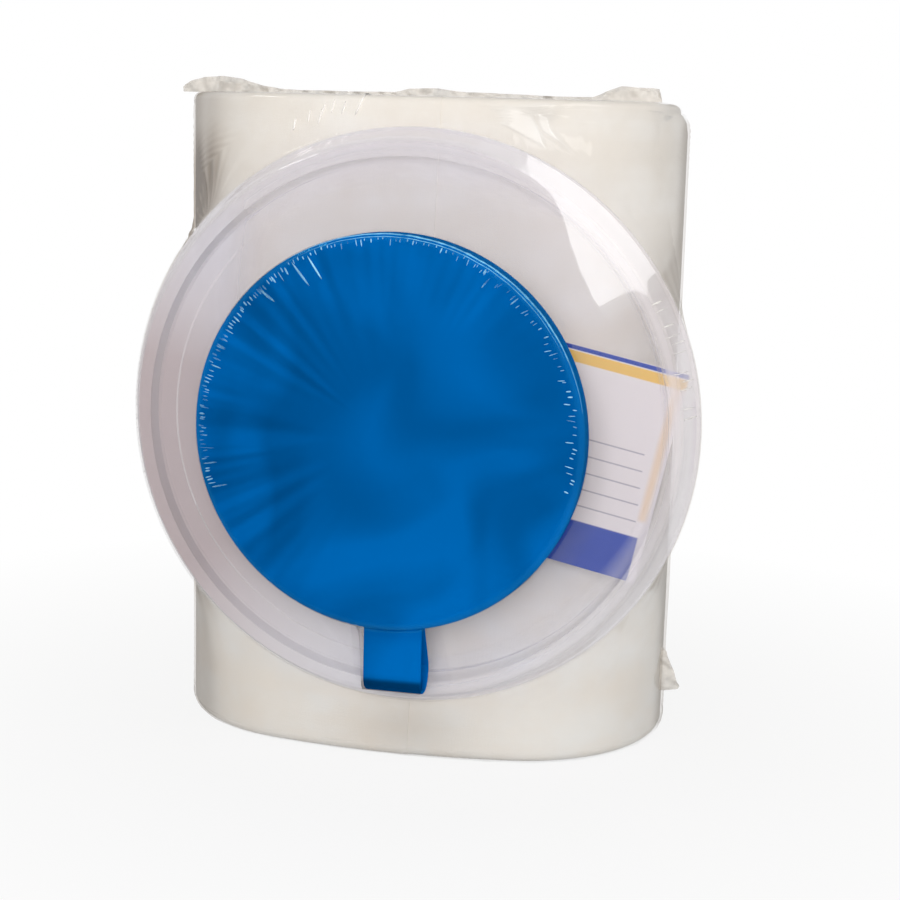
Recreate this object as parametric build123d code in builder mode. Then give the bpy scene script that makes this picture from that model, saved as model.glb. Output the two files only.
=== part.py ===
"""Shrink-wrapped set of a flattened wipes roll and a bucket dispensing lid with a strapped snap cap.

Millimetres. +Z up, the lid and its cap look along -Y, and the origin is at the bottom centre of the set.
Depths on the lid's side are stack heights: distances forward from the roll's flat front.
"""

from build123d import *
from math import acos, atan2, cos, degrees, hypot, radians, sin
import os

os.makedirs("parts", exist_ok=True)

# ------------------------------------------------------------------ driving dimensions
roll_half_width = 100.0
roll_half_depth = 65.5
roll_height = 254.0
roll_side_radius = 62.0
roll_low_round = 4.5
roll_top_round = 3.0
roll_offset = -7.0  # the roll's axis stands this far to the left of the lid's axis

web_gauge = 0.6  # one turn of the non-woven web as it lies on the roll
core_slot_width = 66.0
core_slot_gap = 10.0
layer_steps = (14.0, 27.0, 40.0)  # wound layers that show as steps in the roll's end
layer_step_width = 1.6
layer_step_depth = 1.2
tail_at_top = 15.8  # the web's free edge, from the roll's axis, and its lean down the front
tail_at_foot = 8.0
tail_gap = 1.2

film_gauge = 0.4
film_clearance = 0.3

lid_height = 134.7  # lid axis above the floor
lid_radius = 109.0
lid_wall = 1.5
rim_front_radius = 103.7
rim_inner_radius = 98.5
rim_stack = 15.0
panel_stack = 10.4
plug_radius = 97.0
neck_radius = 67.8
neck_wall = 1.5
neck_stack = 35.5
well_stack = 20.0
outlet_radius = 19.0

cap_radius = 72.2
cap_wall = 2.0
cap_stack = 38.0
cap_skirt = 9.3
cap_edge_round = 2.5

strap_width = 22.0
strap_gauge = 1.2
strap_offset = 2.5
strap_front_stack = 30.5
strap_rear_stack = 19.0
strap_foot = 36.0  # lowest point of the strap's fold above the floor

label_width = 130.0
label_height = 81.0
label_gauge = 0.3
label_tilt = -12.0
label_offset = (32.0, 131.5)  # label centre, across from the lid's axis and up from the floor

# ------------------------------------------------------------------ worked-out places
film_skin = film_clearance + film_gauge
set_depth = film_skin + 2 * roll_half_depth + cap_stack + film_skin
roll_axis_y = set_depth / 2 - film_skin - roll_half_depth
roll_front_y = roll_axis_y - roll_half_depth
roll_foot = film_skin
roll_top = roll_foot + roll_height

strap_fold_stack = (strap_front_stack + strap_rear_stack) / 2
strap_fold_radius = (strap_front_stack - strap_rear_stack) / 2
hinge_height = strap_foot + strap_fold_radius + strap_gauge / 2
hinge_clearance = 0.3
cap_rear_stack = cap_stack - cap_skirt

roll_plane = Plane((roll_offset, roll_axis_y, 0))
# x = radius, y = stack height: half sections of everything turned about the lid's axis
turned_plane = Plane(origin=(0, roll_front_y, lid_height), x_dir=(1, 0, 0), z_dir=(0, 0, -1))
lid_axis = Axis((0, roll_front_y, lid_height), (0, -1, 0))
# x = stack height, y = height above the floor: side sections, drawn in the strap's middle
strap_plane = Plane(origin=(strap_offset, roll_front_y, 0), x_dir=(0, -1, 0), z_dir=(-1, 0, 0))


def facing_plane(stack):
    """Plane square to the lid's axis at a stack height: x right, y up, normal forward."""
    return Plane(origin=(0, roll_front_y - stack, lid_height), x_dir=(1, 0, 0), z_dir=(0, -1, 0))


def upright_plane(advance, height):
    """Plane across the roll, a distance in front of its axis: x right, y up, normal forward."""
    return Plane(origin=(roll_offset, roll_axis_y - advance, height), x_dir=(1, 0, 0), z_dir=(0, -1, 0))


# ------------------------------------------------------------------ shared forms
# The oval's broad arcs are centred across the roll, where they run tangent into the side arcs.
side_centre = roll_half_width - roll_side_radius
broad_centre = (side_centre**2 - (roll_half_depth - roll_side_radius) ** 2) / (
    2 * (roll_half_depth - roll_side_radius)
)
broad_radius = roll_half_depth + broad_centre
tangent_angle = degrees(atan2(broad_centre, side_centre))


def oval(grow):
    """Four tangent arcs: the flattened roll's outline, grown outwards."""
    with BuildLine() as outline:
        side_turn = 2 * tangent_angle
        broad_turn = 180 - side_turn
        CenterArc((side_centre, 0), roll_side_radius + grow, -tangent_angle, side_turn)
        CenterArc((0, -broad_centre), broad_radius + grow, tangent_angle, broad_turn)
        CenterArc((-side_centre, 0), roll_side_radius + grow, 180 - tangent_angle, side_turn)
        CenterArc((0, broad_centre), broad_radius + grow, 180 + tangent_angle, broad_turn)
    return outline.line


def roll_form(grow):
    """The roll's outer form with its rounded ends, grown outwards by a clearance or a gauge."""
    with BuildPart() as form:
        with BuildSketch(roll_plane.offset(roll_foot - grow)):
            add(oval(grow))
            make_face()
        extrude(amount=roll_height + 2 * grow)
        fillet(form.faces().sort_by(Axis.Z)[0].edges(), roll_low_round + grow)
        fillet(form.faces().sort_by(Axis.Z)[-1].edges(), roll_top_round + grow)
    return form.part


def turned(points):
    """A ring about the lid's axis from its half section, as (radius, stack height) points."""
    with BuildPart() as ring:
        with BuildSketch(turned_plane):
            with BuildLine():
                Polyline(*points, close=True)
            make_face()
        revolve(axis=lid_axis)
    return ring.part


def leaving_point(across, forward, grow, share):
    """Where a straight film from a point in front of the roll first lies on the oval.

    Both points are measured from the roll's axis, the given one on the right-hand side. A share
    under 1 brings the film to the roll sooner, down to straight behind the given point.
    """
    broad_turn = atan2(-forward - broad_centre, across)
    broad_turn += share * acos((broad_radius + grow) / hypot(across, forward + broad_centre))
    side_turn = atan2(-forward, across - side_centre)
    side_turn += acos((roll_side_radius + grow) / hypot(across - side_centre, forward))
    if broad_turn < -radians(tangent_angle):
        turn = broad_turn
        middle, radius = (0, broad_centre), broad_radius + grow
    else:
        turn = min(side_turn, 0) - leaving_margin / roll_side_radius
        middle, radius = (side_centre, 0), roll_side_radius + grow
    return middle[0] + radius * cos(turn), middle[1] + radius * sin(turn)


# ------------------------------------------------------------------ wipes roll
bare_roll = roll_form(0.0)

with BuildPart() as wound_core:
    with BuildSketch(roll_plane):
        add(oval(-web_gauge))
        make_face()
    extrude(amount=roll_top + 1)

with BuildPart() as wipes_roll:
    add(bare_roll)
    add(wound_core.part, mode=Mode.INTERSECT)
    with BuildSketch(roll_plane.offset(roll_top)):
        for step in layer_steps:
            add(oval(-step))
            make_face()
            add(oval(-step - layer_step_width))
            make_face(mode=Mode.SUBTRACT)
    extrude(amount=-layer_step_depth, mode=Mode.SUBTRACT)
    with BuildSketch(roll_plane.offset(roll_foot)):
        SlotOverall(core_slot_width, core_slot_gap)
    extrude(amount=roll_height, mode=Mode.SUBTRACT)
wipes_roll.part.label = "wipes_roll"
export_step(wipes_roll.part, "parts/wipes_roll.step")

with BuildPart() as outer_turn:
    add(bare_roll)
    add(wound_core.part, mode=Mode.SUBTRACT)
    # the free edge: a narrow gap that leans down the front
    with BuildSketch(upright_plane(roll_half_depth, 0)):
        with BuildLine():
            Polyline(
                (tail_at_foot, 0),
                (tail_at_foot + tail_gap, 0),
                (tail_at_top + tail_gap, roll_top + 1),
                (tail_at_top, roll_top + 1),
                close=True,
            )
        make_face()
    extrude(amount=2 * web_gauge, both=True, mode=Mode.SUBTRACT)
outer_turn.part.label = "outer_turn"
export_step(outer_turn.part, "parts/outer_turn.step")

first_wipe_gauge = 0.9
first_wipe_waves = [(-28, -3.4), (-14, -2.6), (0, -3.3), (14, -2.6), (27, -3.4)]
with BuildPart() as first_wipe:
    with BuildSketch(roll_plane.offset(roll_foot)):
        with BuildLine():
            Spline(*first_wipe_waves)
        trace(line_width=first_wipe_gauge)
    extrude(amount=roll_height - layer_step_depth)
first_wipe.part.label = "first_wipe"
export_step(first_wipe.part, "parts/first_wipe.step")

# ------------------------------------------------------------------ label sheet
label_clearance = 0.05
with BuildPart() as label_sheet:
    with BuildSketch(facing_plane(label_clearance)):
        label_x, label_z = label_offset
        with Locations((label_x, label_z - lid_height)):
            RectangleRounded(label_width, label_height, 1.0, rotation=label_tilt)
    extrude(amount=label_gauge)
label_sheet.part.label = "label_sheet"
export_step(label_sheet.part, "parts/label_sheet.step")

# ------------------------------------------------------------------ lid moulding
skirt_foot = 0.5
skirt_band = 2.5  # the plain band at the skirt's open edge
skirt_step = 1.2
rim_bevel = 1.0
step_radius = 90.0  # inside this radius the panel lies a step further forward
panel_step = 0.8
step_run = 1.0
neck_root = 4.0
neck_bead = 1.2
bead_drop = 1.7  # from the neck's open edge back to its bead
bead_land = 1.0
collar_height = 2.0
channel_stack = rim_stack - lid_wall
channel_foot = 3.6  # the plug wall's rounded end inside the bucket's mouth
panel_back = panel_stack - lid_wall
neck_bore = neck_radius - neck_wall
well_back = well_stack - lid_wall

outer_section = [
    (lid_radius, skirt_foot),
    (lid_radius, skirt_foot + skirt_band),
    (lid_radius - skirt_step, skirt_foot + skirt_band + skirt_step),
    (rim_front_radius + rim_bevel / 2, rim_stack - rim_bevel),
    (rim_front_radius - rim_bevel / 2, rim_stack),
    (rim_inner_radius, rim_stack),
    (plug_radius, panel_stack + rim_bevel / 2),
    (plug_radius - rim_bevel, panel_stack),
    (step_radius, panel_stack),
    (step_radius - step_run, panel_stack + panel_step),
    (neck_radius + neck_root, panel_stack + panel_step),
    (neck_radius, panel_stack + 3 * panel_step),
    (neck_radius, neck_stack - bead_drop - 2 * bead_land),
    (neck_radius + neck_bead, neck_stack - bead_drop - bead_land),
    (neck_radius + neck_bead, neck_stack - bead_drop),
    (neck_radius, neck_stack),
]
well_section = [
    (neck_bore, neck_stack),
    (neck_bore, well_stack + rim_bevel),
    (neck_bore - rim_bevel, well_stack),
    (outlet_radius + 2.0, well_stack),
    (outlet_radius + 1.8, well_stack + collar_height),
    (outlet_radius, well_stack + collar_height),
    (outlet_radius, well_back),
    (neck_bore, well_back),
]
rear_section = [
    (neck_bore, panel_back + panel_step),
    (step_radius - step_run / 2, panel_back + panel_step),
    (step_radius + step_run / 2, panel_back),
    (plug_radius - panel_step, panel_back),
    (plug_radius - 0.6, channel_foot + 0.6),
    (plug_radius + 0.2, channel_foot),
    (plug_radius + 0.9, channel_foot + 0.6),
    (plug_radius + lid_wall, channel_stack),
    (rim_front_radius - skirt_step, channel_stack),
    (lid_radius - lid_wall - rim_bevel, skirt_foot + skirt_band + 2 * rim_bevel),
    (lid_radius - lid_wall, skirt_foot + skirt_band + rim_bevel),
    (lid_radius - lid_wall, skirt_foot),
]
snap_beads = 8
bead_depth = 1.3
bead_height = 1.6
bead_half_turn = 8  # degrees
bead_taper = 1

with BuildPart() as lid_shell:
    with BuildSketch(turned_plane):
        with BuildLine():
            Polyline(*outer_section, *well_section, *rear_section, close=True)
        make_face()
    revolve(axis=lid_axis)
    # snap beads inside the skirt that grip under the bucket's rim
    with BuildSketch(facing_plane(skirt_foot)):
        with PolarLocations(0, snap_beads):
            with BuildLine():
                bead_inner = lid_radius - lid_wall - bead_depth
                inner_half_turn = bead_half_turn - bead_taper
                outer_bead = CenterArc(
                    (0, 0), lid_radius - rim_bevel, -bead_half_turn, 2 * bead_half_turn
                )
                inner_bead = CenterArc((0, 0), bead_inner, -inner_half_turn, 2 * inner_half_turn)
                Line(outer_bead @ 0, inner_bead @ 0)
                Line(outer_bead @ 1, inner_bead @ 1)
            make_face()
    extrude(amount=bead_height)
lid_shell.part.label = "lid_shell"
export_step(lid_shell.part, "parts/lid_shell.step")

# ------------------------------------------------------------------ star-cut outlet insert
insert_radius = outlet_radius - 0.2
flange_stack = well_stack + collar_height
flange_width = 2.8
membrane_gauge = 0.8
star_slits = 8
star_reach = 13.0
star_slit_width = 0.8
star_eye = 2.5
with BuildPart() as outlet_star:
    with BuildSketch(turned_plane):
        with BuildLine():
            Polyline(
                (0, well_stack),
                (insert_radius - 1.4, well_stack),
                (insert_radius - 1.4, well_back - 0.6),
                (insert_radius - 0.4, well_back - 0.6),
                (insert_radius, well_back),
                (insert_radius, flange_stack),
                (insert_radius + flange_width, flange_stack),
                (insert_radius + flange_width, flange_stack + 1.0),
                (insert_radius - 1.6, flange_stack + 1.0),
                (insert_radius - 3.0, well_stack + 1.5 * membrane_gauge),
                (0, well_stack + membrane_gauge),
                close=True,
            )
        make_face()
    revolve(axis=lid_axis)
    with BuildSketch(facing_plane(well_stack - 1)):
        Circle(star_eye)
        with PolarLocations(star_reach / 2, star_slits):
            Rectangle(star_reach, star_slit_width)
    extrude(amount=1 + 2 * collar_height, mode=Mode.SUBTRACT)
outlet_star.part.label = "outlet_star"
export_step(outlet_star.part, "parts/outlet_star.step")

# ------------------------------------------------------------------ cap
cap_bore = cap_radius - cap_wall
cap_roof = cap_stack - cap_wall
snap_depth = 0.5
seal_radius = 64.3
seal_wall = 1.5
seal_height = 3.5
with BuildPart() as cap_shell:
    with BuildSketch(turned_plane):
        with BuildLine():
            Polyline(
                (0, cap_stack),
                (cap_radius, cap_stack),
                (cap_radius, cap_rear_stack),
                (cap_bore + 0.3, cap_rear_stack),
                (cap_bore - snap_depth, cap_rear_stack + 0.9),
                (cap_bore - snap_depth, cap_rear_stack + 1.5),
                (cap_bore, cap_rear_stack + 2.3),
                (cap_bore, cap_roof),
                (seal_radius, cap_roof),
                (seal_radius, cap_roof - seal_height),
                (seal_radius - seal_wall, cap_roof - seal_height + 0.5),
                (seal_radius - seal_wall, cap_roof),
                (0, cap_roof),
                close=True,
            )
        make_face()
    revolve(axis=lid_axis)
    rim_edge = cap_shell.edges().filter_by(GeomType.CIRCLE).sort_by(Axis.Y)[0]
    fillet(rim_edge, cap_edge_round)
cap_shell.part.label = "cap_shell"
export_step(cap_shell.part, "parts/cap_shell.step")

# ------------------------------------------------------------------ strap and tether ring
ring_front = cap_rear_stack - 1.6
ring_width = 3.0
ring_rear = ring_front - ring_width
ring_bore = neck_radius + 0.15
ring_radius = neck_radius + 3.0
tether_ring = turned(
    [(ring_bore, ring_rear), (ring_radius, ring_rear), (ring_radius, ring_front), (ring_bore, ring_front)]
)
tether_ring.label = "tether_ring"
export_step(tether_ring, "parts/tether_ring.step")

half_gauge = strap_gauge / 2

with BuildPart() as strap_front:
    with BuildSketch(strap_plane):
        with Locations((strap_front_stack, (hinge_height + hinge_clearance + lid_height) / 2)):
            Rectangle(strap_gauge, lid_height - hinge_height - hinge_clearance)
    extrude(amount=strap_width / 2, both=True)
    with BuildSketch(facing_plane(strap_front_stack - strap_gauge)):
        Circle(cap_radius)
    extrude(amount=2 * strap_gauge, mode=Mode.SUBTRACT)
strap_front.part.label = "strap_front"
export_step(strap_front.part, "parts/strap_front.step")

with BuildPart() as strap_fold:
    with BuildSketch(strap_plane):
        with BuildLine():
            fold_arc = CenterArc((strap_fold_stack, hinge_height), strap_fold_radius, 180, 180)
        trace(line_width=strap_gauge)
    extrude(amount=strap_width / 2, both=True)
strap_fold.part.label = "strap_fold"
export_step(strap_fold.part, "parts/strap_fold.step")

strap_ring_height = lid_height - ring_radius
leaf_rise = 3.0  # the rear leaf stands this far above the fold before it leans to the ring
leaf_lap = 2.0
with BuildPart() as strap_rear:
    with BuildSketch(strap_plane):
        with BuildLine():
            Polyline(
                (strap_rear_stack - half_gauge, hinge_height),
                (strap_rear_stack + half_gauge, hinge_height),
                (strap_rear_stack + half_gauge, hinge_height + leaf_rise),
                (ring_front, strap_ring_height - leaf_lap),
                (ring_front, lid_height),
                (ring_front - strap_gauge, lid_height),
                (ring_front - strap_gauge, strap_ring_height - leaf_lap),
                (strap_rear_stack - half_gauge, hinge_height + leaf_rise + half_gauge),
                close=True,
            )
        make_face()
    extrude(amount=strap_width / 2, both=True)
    with BuildSketch(facing_plane(ring_rear)):
        Circle(ring_radius)
    extrude(amount=ring_front - ring_rear + 1, mode=Mode.SUBTRACT)
strap_rear.part.label = "strap_rear"
export_step(strap_rear.part, "parts/strap_rear.step")

# ------------------------------------------------------------------ where the film leaves the roll
tent_stack = 1.8
tent_radius = lid_radius + film_clearance + 0.2
tent_y = roll_front_y - tent_stack
span_clearance = film_skin + 0.05  # the spans lap over the sleeve's edge
leaving_margin = 3.0
centre_fade = 20.0  # degrees of the rim, each side of its top and foot, where the film comes straight
sleeve_foot = roll_low_round + film_skin
sleeve_top = roll_top - roll_top_round
span_steps = (0, 15, 30, 45, 55, 65, 75, 83, 90)


def rim_point(hand, angle):
    """A point of the circle where the film folds over the lid's rear edge."""
    turn = radians(angle)
    return Vector(hand * tent_radius * cos(turn), tent_y, lid_height + tent_radius * sin(turn))


def roll_point(hand, angle):
    """The point of the roll where the film from that point of the rim arrives."""
    rim = rim_point(hand, angle)
    forward = roll_axis_y - tent_y
    share = min(1, (90 - abs(angle)) / centre_fade)
    across, back = leaving_point(hand * (rim.X - roll_offset), forward, span_clearance, share)
    end_height = sleeve_top if angle > 0 else sleeve_foot
    height = lid_height + abs(end_height - lid_height) * sin(radians(angle))
    return Vector(roll_offset + hand * across, roll_axis_y + back, height)


def corner_span(hand, level):
    """Ruled film between a quarter of the lid's rim and its leaving line on the roll."""
    rim_edge = ThreePointArc(*[rim_point(hand, level * angle) for angle in (0, 45, 90)])
    roll_edge = Spline(*[roll_point(hand, level * angle) for angle in span_steps])
    return Face.make_surface_from_curves(rim_edge.edge(), roll_edge.edge())


# ------------------------------------------------------------------ shrink film on the roll
outer_film = roll_form(film_skin)
inner_film = roll_form(film_clearance)

with BuildPart() as film_base:
    add(outer_film)
    add(inner_film, mode=Mode.SUBTRACT)
    split(bisect_by=Plane.XY.offset(sleeve_foot - film_gauge), keep=Keep.BOTTOM)
film_base.part.label = "film_base"
export_step(film_base.part, "parts/film_base.step")

with BuildPart() as film_top:
    add(outer_film)
    add(inner_film, mode=Mode.SUBTRACT)
    split(bisect_by=Plane.XY.offset(sleeve_top + film_gauge), keep=Keep.TOP)
film_top.part.label = "film_top"
export_step(film_top.part, "parts/film_top.step")

# the front of the sleeve is open where the film runs over the lid instead
window_gap = 0.8
with BuildPart() as sleeve_window:
    with BuildSketch(upright_plane(leaving_margin - window_gap, 0)):
        with BuildLine():
            rising = [-angle for angle in reversed(span_steps)] + list(span_steps[1:])
            right_side = [roll_point(1, angle) for angle in rising]
            left_side = [roll_point(-1, angle) for angle in reversed(rising[1:-1])]
            Polyline(*[(place.X - roll_offset, place.Z) for place in right_side + left_side], close=True)
        make_face()
        offset(amount=window_gap)
    extrude(amount=roll_half_width)

with BuildPart() as film_sleeve:
    add(outer_film)
    add(inner_film, mode=Mode.SUBTRACT)
    split(bisect_by=Plane.XY.offset(sleeve_foot - film_gauge), keep=Keep.TOP)
    split(bisect_by=Plane.XY.offset(sleeve_top + film_gauge), keep=Keep.BOTTOM)
    add(sleeve_window.part, mode=Mode.SUBTRACT)
film_sleeve.part.label = "film_sleeve"
export_step(film_sleeve.part, "parts/film_sleeve.step")

# ------------------------------------------------------------------ film spans to the lid's rim
with BuildPart() as film_tent:
    for hand in (1, -1):
        for level in (1, -1):
            thicken(corner_span(hand, level), amount=film_gauge, normal_override=(hand, -1, 0.3 * level))
film_tent.part.label = "film_tent"
export_step(film_tent.part, "parts/film_tent.step")

# ------------------------------------------------------------------ film over the rim and the cap
cone_stack = cap_rear_stack + 0.8
cone_radius = cap_radius + 2 * film_skin
strap_notch = strap_width + 7.0
notch_reach = rim_inner_radius + 1.0 - cap_radius
with BuildPart() as film_collar:
    with BuildSketch(turned_plane):
        with BuildLine():
            Polyline(
                (tent_radius + film_gauge / 2, tent_stack),
                (tent_radius + film_gauge / 2, skirt_foot + 3.0),
                (rim_front_radius + 1.2, rim_stack),
                (rim_front_radius - 0.2, rim_stack + 0.5),
                (rim_inner_radius, rim_stack + 0.5),
                (cone_radius, cone_stack),
            )
        trace(line_width=film_gauge)
    revolve(axis=lid_axis)
    with BuildSketch(facing_plane(panel_stack)):
        with Locations((strap_offset, -cap_radius - notch_reach / 2)):
            Rectangle(strap_notch, notch_reach)
    extrude(amount=cap_stack, mode=Mode.SUBTRACT)
film_collar.part.label = "film_collar"
export_step(film_collar.part, "parts/film_collar.step")

cover_gap = 0.1
cover_side = cap_radius + cover_gap
cover_face = cap_stack + cover_gap
tongue_stack = strap_front_stack + half_gauge + 0.15
with BuildPart() as film_cap:
    # half section: over the face, round the cap's edge and back along its skirt
    with BuildSketch(turned_plane):
        with BuildLine():
            edge_centre = (cap_radius - cap_edge_round, cap_stack - cap_edge_round)
            inner_bend = CenterArc(edge_centre, cap_edge_round + cover_gap, 0, 90)
            outer_bend = CenterArc(edge_centre, cap_edge_round + cover_gap + film_gauge, 0, 90)
            Line((0, cover_face), inner_bend @ 1)
            Line((0, cover_face + film_gauge), outer_bend @ 1)
            Line((0, cover_face), (0, cover_face + film_gauge))
            Line(inner_bend @ 0, (cover_side, cap_rear_stack))
            Line(outer_bend @ 0, (cover_side + film_gauge, cap_rear_stack))
            Line((cover_side, cap_rear_stack), (cover_side + film_gauge, cap_rear_stack))
        make_face()
    revolve(axis=lid_axis)
    # cut away where the strap leaves the skirt
    with BuildSketch(facing_plane(cap_rear_stack)):
        with Locations((strap_offset, -cap_radius)):
            Rectangle(strap_width + 1, 8)
    extrude(amount=tongue_stack - cap_rear_stack, mode=Mode.SUBTRACT)
    # the tongue that covers the strap's front leaf
    with BuildSketch(facing_plane(tongue_stack)):
        tongue_foot = hinge_height - strap_fold_radius - lid_height
        with Locations((strap_offset, tongue_foot)):
            Rectangle(strap_width + 2, -tongue_foot, align=(Align.CENTER, Align.MIN))
        Circle(cover_side, mode=Mode.SUBTRACT)
    extrude(amount=film_gauge)
film_cap.part.label = "film_cap"
export_step(film_cap.part, "parts/film_cap.step")

# ------------------------------------------------------------------ crumpled seal ears
ear_gauge = 1.6
ear_foot = roll_top + film_skin
top_seal_advance = 22.0  # the top seal crosses the roll's end this far in front of its axis
side_seal_advance = 5.0
# outlines across from the roll's axis, and up from the film's top
left_ear = [
    *[(-89, 0), (-95, 0.8), (-99.5, 2.8), (-98, 3.6), (-92.5, 5.5)],
    *[(-84, 5.3), (-78, 3.6), (-74, 1.2), (-68, 0)],
]
middle_ear = [(-9, 0), (-5.5, 2.2), (3.5, 2.8), (8.5, 1.4), (28, 1.2), (36, 0)]
right_ear = [(67, 0), (71.5, 4.2), (74.5, 5.2), (88.5, 4.6), (90.2, 1.4), (88, 0)]
# the side seal's ear lies low on the right: up from the floor, and sunk to the sleeve
side_ear = [(98, 37), (101.3, 34.8), (107, 20.5), (106.6, 19.4), (98, 18.2)]

with BuildPart() as film_ears:
    for outline, advance, foot in (
        (left_ear, top_seal_advance, ear_foot),
        (middle_ear, top_seal_advance, ear_foot),
        (right_ear, top_seal_advance, ear_foot),
        (side_ear, side_seal_advance, 0),
    ):
        with BuildSketch(upright_plane(advance, foot)):
            with BuildLine():
                Polyline(*outline, close=True)
            make_face()
        extrude(amount=ear_gauge / 2, both=True)
    add(outer_film, mode=Mode.SUBTRACT)
film_ears.part.label = "film_ears"
export_step(film_ears.part, "parts/film_ears.step")

print("hinge at y", round(roll_front_y - strap_fold_stack, 3), "z", round(hinge_height, 3))
print("front y", round(roll_front_y, 3), "depth", round(set_depth, 3), "roll axis y", round(roll_axis_y, 3))
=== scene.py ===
# %% [markdown]
# # A shrink-wrapped refill set: wipes roll, bucket lid and blue snap cap
#
# The set is one roll of dry non-woven wipes, wound without a core and pressed into an oval. The
# dispensing lid of the bucket stands against its front, with a printed label sheet in between, and
# one clear shrink film holds everything together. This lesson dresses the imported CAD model: rigid
# mouldings keep their CAD meshes and get finishes, while the soft roll, the strap's fold and the
# film are modelled here, because their looks come from creases and slack.

import math

import bmesh
import bpy
import numpy as np
from mathutils import Matrix, Vector
from mathutils.bvhtree import BVHTree


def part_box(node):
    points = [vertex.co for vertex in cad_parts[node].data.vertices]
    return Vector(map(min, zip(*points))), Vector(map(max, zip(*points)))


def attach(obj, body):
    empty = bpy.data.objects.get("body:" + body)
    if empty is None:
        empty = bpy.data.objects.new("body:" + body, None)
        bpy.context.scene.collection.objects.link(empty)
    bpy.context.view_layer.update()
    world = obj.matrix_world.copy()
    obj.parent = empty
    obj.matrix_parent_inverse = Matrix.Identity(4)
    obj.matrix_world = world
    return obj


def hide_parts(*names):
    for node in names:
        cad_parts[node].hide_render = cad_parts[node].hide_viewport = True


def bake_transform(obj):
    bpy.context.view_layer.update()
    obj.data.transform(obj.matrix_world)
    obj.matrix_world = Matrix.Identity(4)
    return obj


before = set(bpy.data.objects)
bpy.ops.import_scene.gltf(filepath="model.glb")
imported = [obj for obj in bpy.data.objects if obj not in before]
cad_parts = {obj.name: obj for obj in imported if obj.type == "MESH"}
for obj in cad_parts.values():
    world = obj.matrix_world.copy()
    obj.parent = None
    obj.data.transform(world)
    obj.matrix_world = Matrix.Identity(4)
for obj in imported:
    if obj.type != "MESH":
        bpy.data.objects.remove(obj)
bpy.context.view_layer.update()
mm = 0.001
print("CAD pieces:", len(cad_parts))

# %% [markdown]
# ## Sizes
#
# Every place in this script comes from the frame's boxes, so that the dressing stays on the CAD
# model when the model changes. Depths towards the viewer are "stack heights": distances in front
# of the roll's flat front, which is how the pieces lie on each other.

# %% Sizes read from the frame
lid_low, lid_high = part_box("lid_shell")
lid_x = (lid_low.x + lid_high.x) / 2
lid_z = (lid_low.z + lid_high.z) / 2
lid_radius = (lid_high.x - lid_low.x) / 2

turn_low, turn_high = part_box("outer_turn")
roll_x = (turn_low.x + turn_high.x) / 2
roll_y = (turn_low.y + turn_high.y) / 2
roll_half_width = (turn_high.x - turn_low.x) / 2
roll_half_depth = (turn_high.y - turn_low.y) / 2
roll_low, roll_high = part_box("wipes_roll")
roll_foot, roll_top = roll_low.z, roll_high.z
roll_front = turn_low.y

cap_low, cap_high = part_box("cap_shell")
cap_radius = (cap_high.x - cap_low.x) / 2
cap_stack = roll_front - cap_low.y
cap_rear_stack = roll_front - cap_high.y

fold_low, fold_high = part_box("strap_fold")
strap_x = (fold_low.x + fold_high.x) / 2
strap_half_width = (fold_high.x - fold_low.x) / 2
strap_gauge = 1.2 * mm
fold_radius = (fold_high.y - fold_low.y - strap_gauge) / 2
hinge_y = (fold_low.y + fold_high.y) / 2
hinge_z = fold_high.z

print("lid radius", round(lid_radius / mm, 1), "cap radius", round(cap_radius / mm, 1), "mm")
print("roll", round(2 * roll_half_width / mm, 1), "by", round(2 * roll_half_depth / mm, 1), "mm")

# %% [markdown]
# ## The camera
#
# The camera comes first, because every finish is judged from it. It stands a little to the right
# and above the lid's axis, and it is turned slightly about its own line of sight.

# %% Camera
camera_azimuth = math.radians(12.7)
camera_elevation = math.radians(10.45)
camera_turn = math.radians(1.45)
camera_distance = 750 * mm
camera_target = Vector((0.72 * mm, roll_y, 111.71 * mm))
picture_size = 900
focal_pixels = 1809.7
sensor_width = 36.0


def aimed_matrix(place, back, right):
    """A camera or lamp matrix from its place, the way behind it and the way to its right."""
    up = back.cross(right)
    axes = Matrix((right, up, back)).transposed()
    return Matrix.Translation(place) @ axes.to_4x4()


def make_camera():
    """The camera of the main view."""
    level = math.cos(camera_elevation)
    back = Vector(
        (
            math.sin(camera_azimuth) * level,
            -math.cos(camera_azimuth) * level,
            math.sin(camera_elevation),
        )
    )
    right = Vector((math.cos(camera_azimuth), math.sin(camera_azimuth), 0))
    turned_right = right * math.cos(camera_turn) + back.cross(right) * math.sin(camera_turn)
    data = bpy.data.cameras.new("main_camera")
    data.sensor_width = sensor_width
    data.lens = focal_pixels / picture_size * sensor_width
    data.clip_start = 0.05
    camera = bpy.data.objects.new("main_camera", data)
    bpy.context.scene.collection.objects.link(camera)
    camera.matrix_world = aimed_matrix(camera_target + back * camera_distance, back, turned_right)
    bpy.context.scene.camera = camera
    print("lens", round(data.lens, 1), "mm")


make_camera()

# %% [markdown]
# ## Light
#
# A glossy film shows the shape of every lamp, so the lamps have two jobs and are kept apart. Four
# softboxes only light the set and are hidden from gloss: the key in front, a high one that lifts
# the top, and a weak one at each side. Three are there for their mirror images: one over the right
# shoulder for the broad wedge where the film drops to the lid's rim, one higher up for the film's
# lobes beside the lid, and a narrow one at the left for the rounded edges.

# %% Lamps
lamp_aim = Vector((0, roll_front, lid_z))


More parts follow.
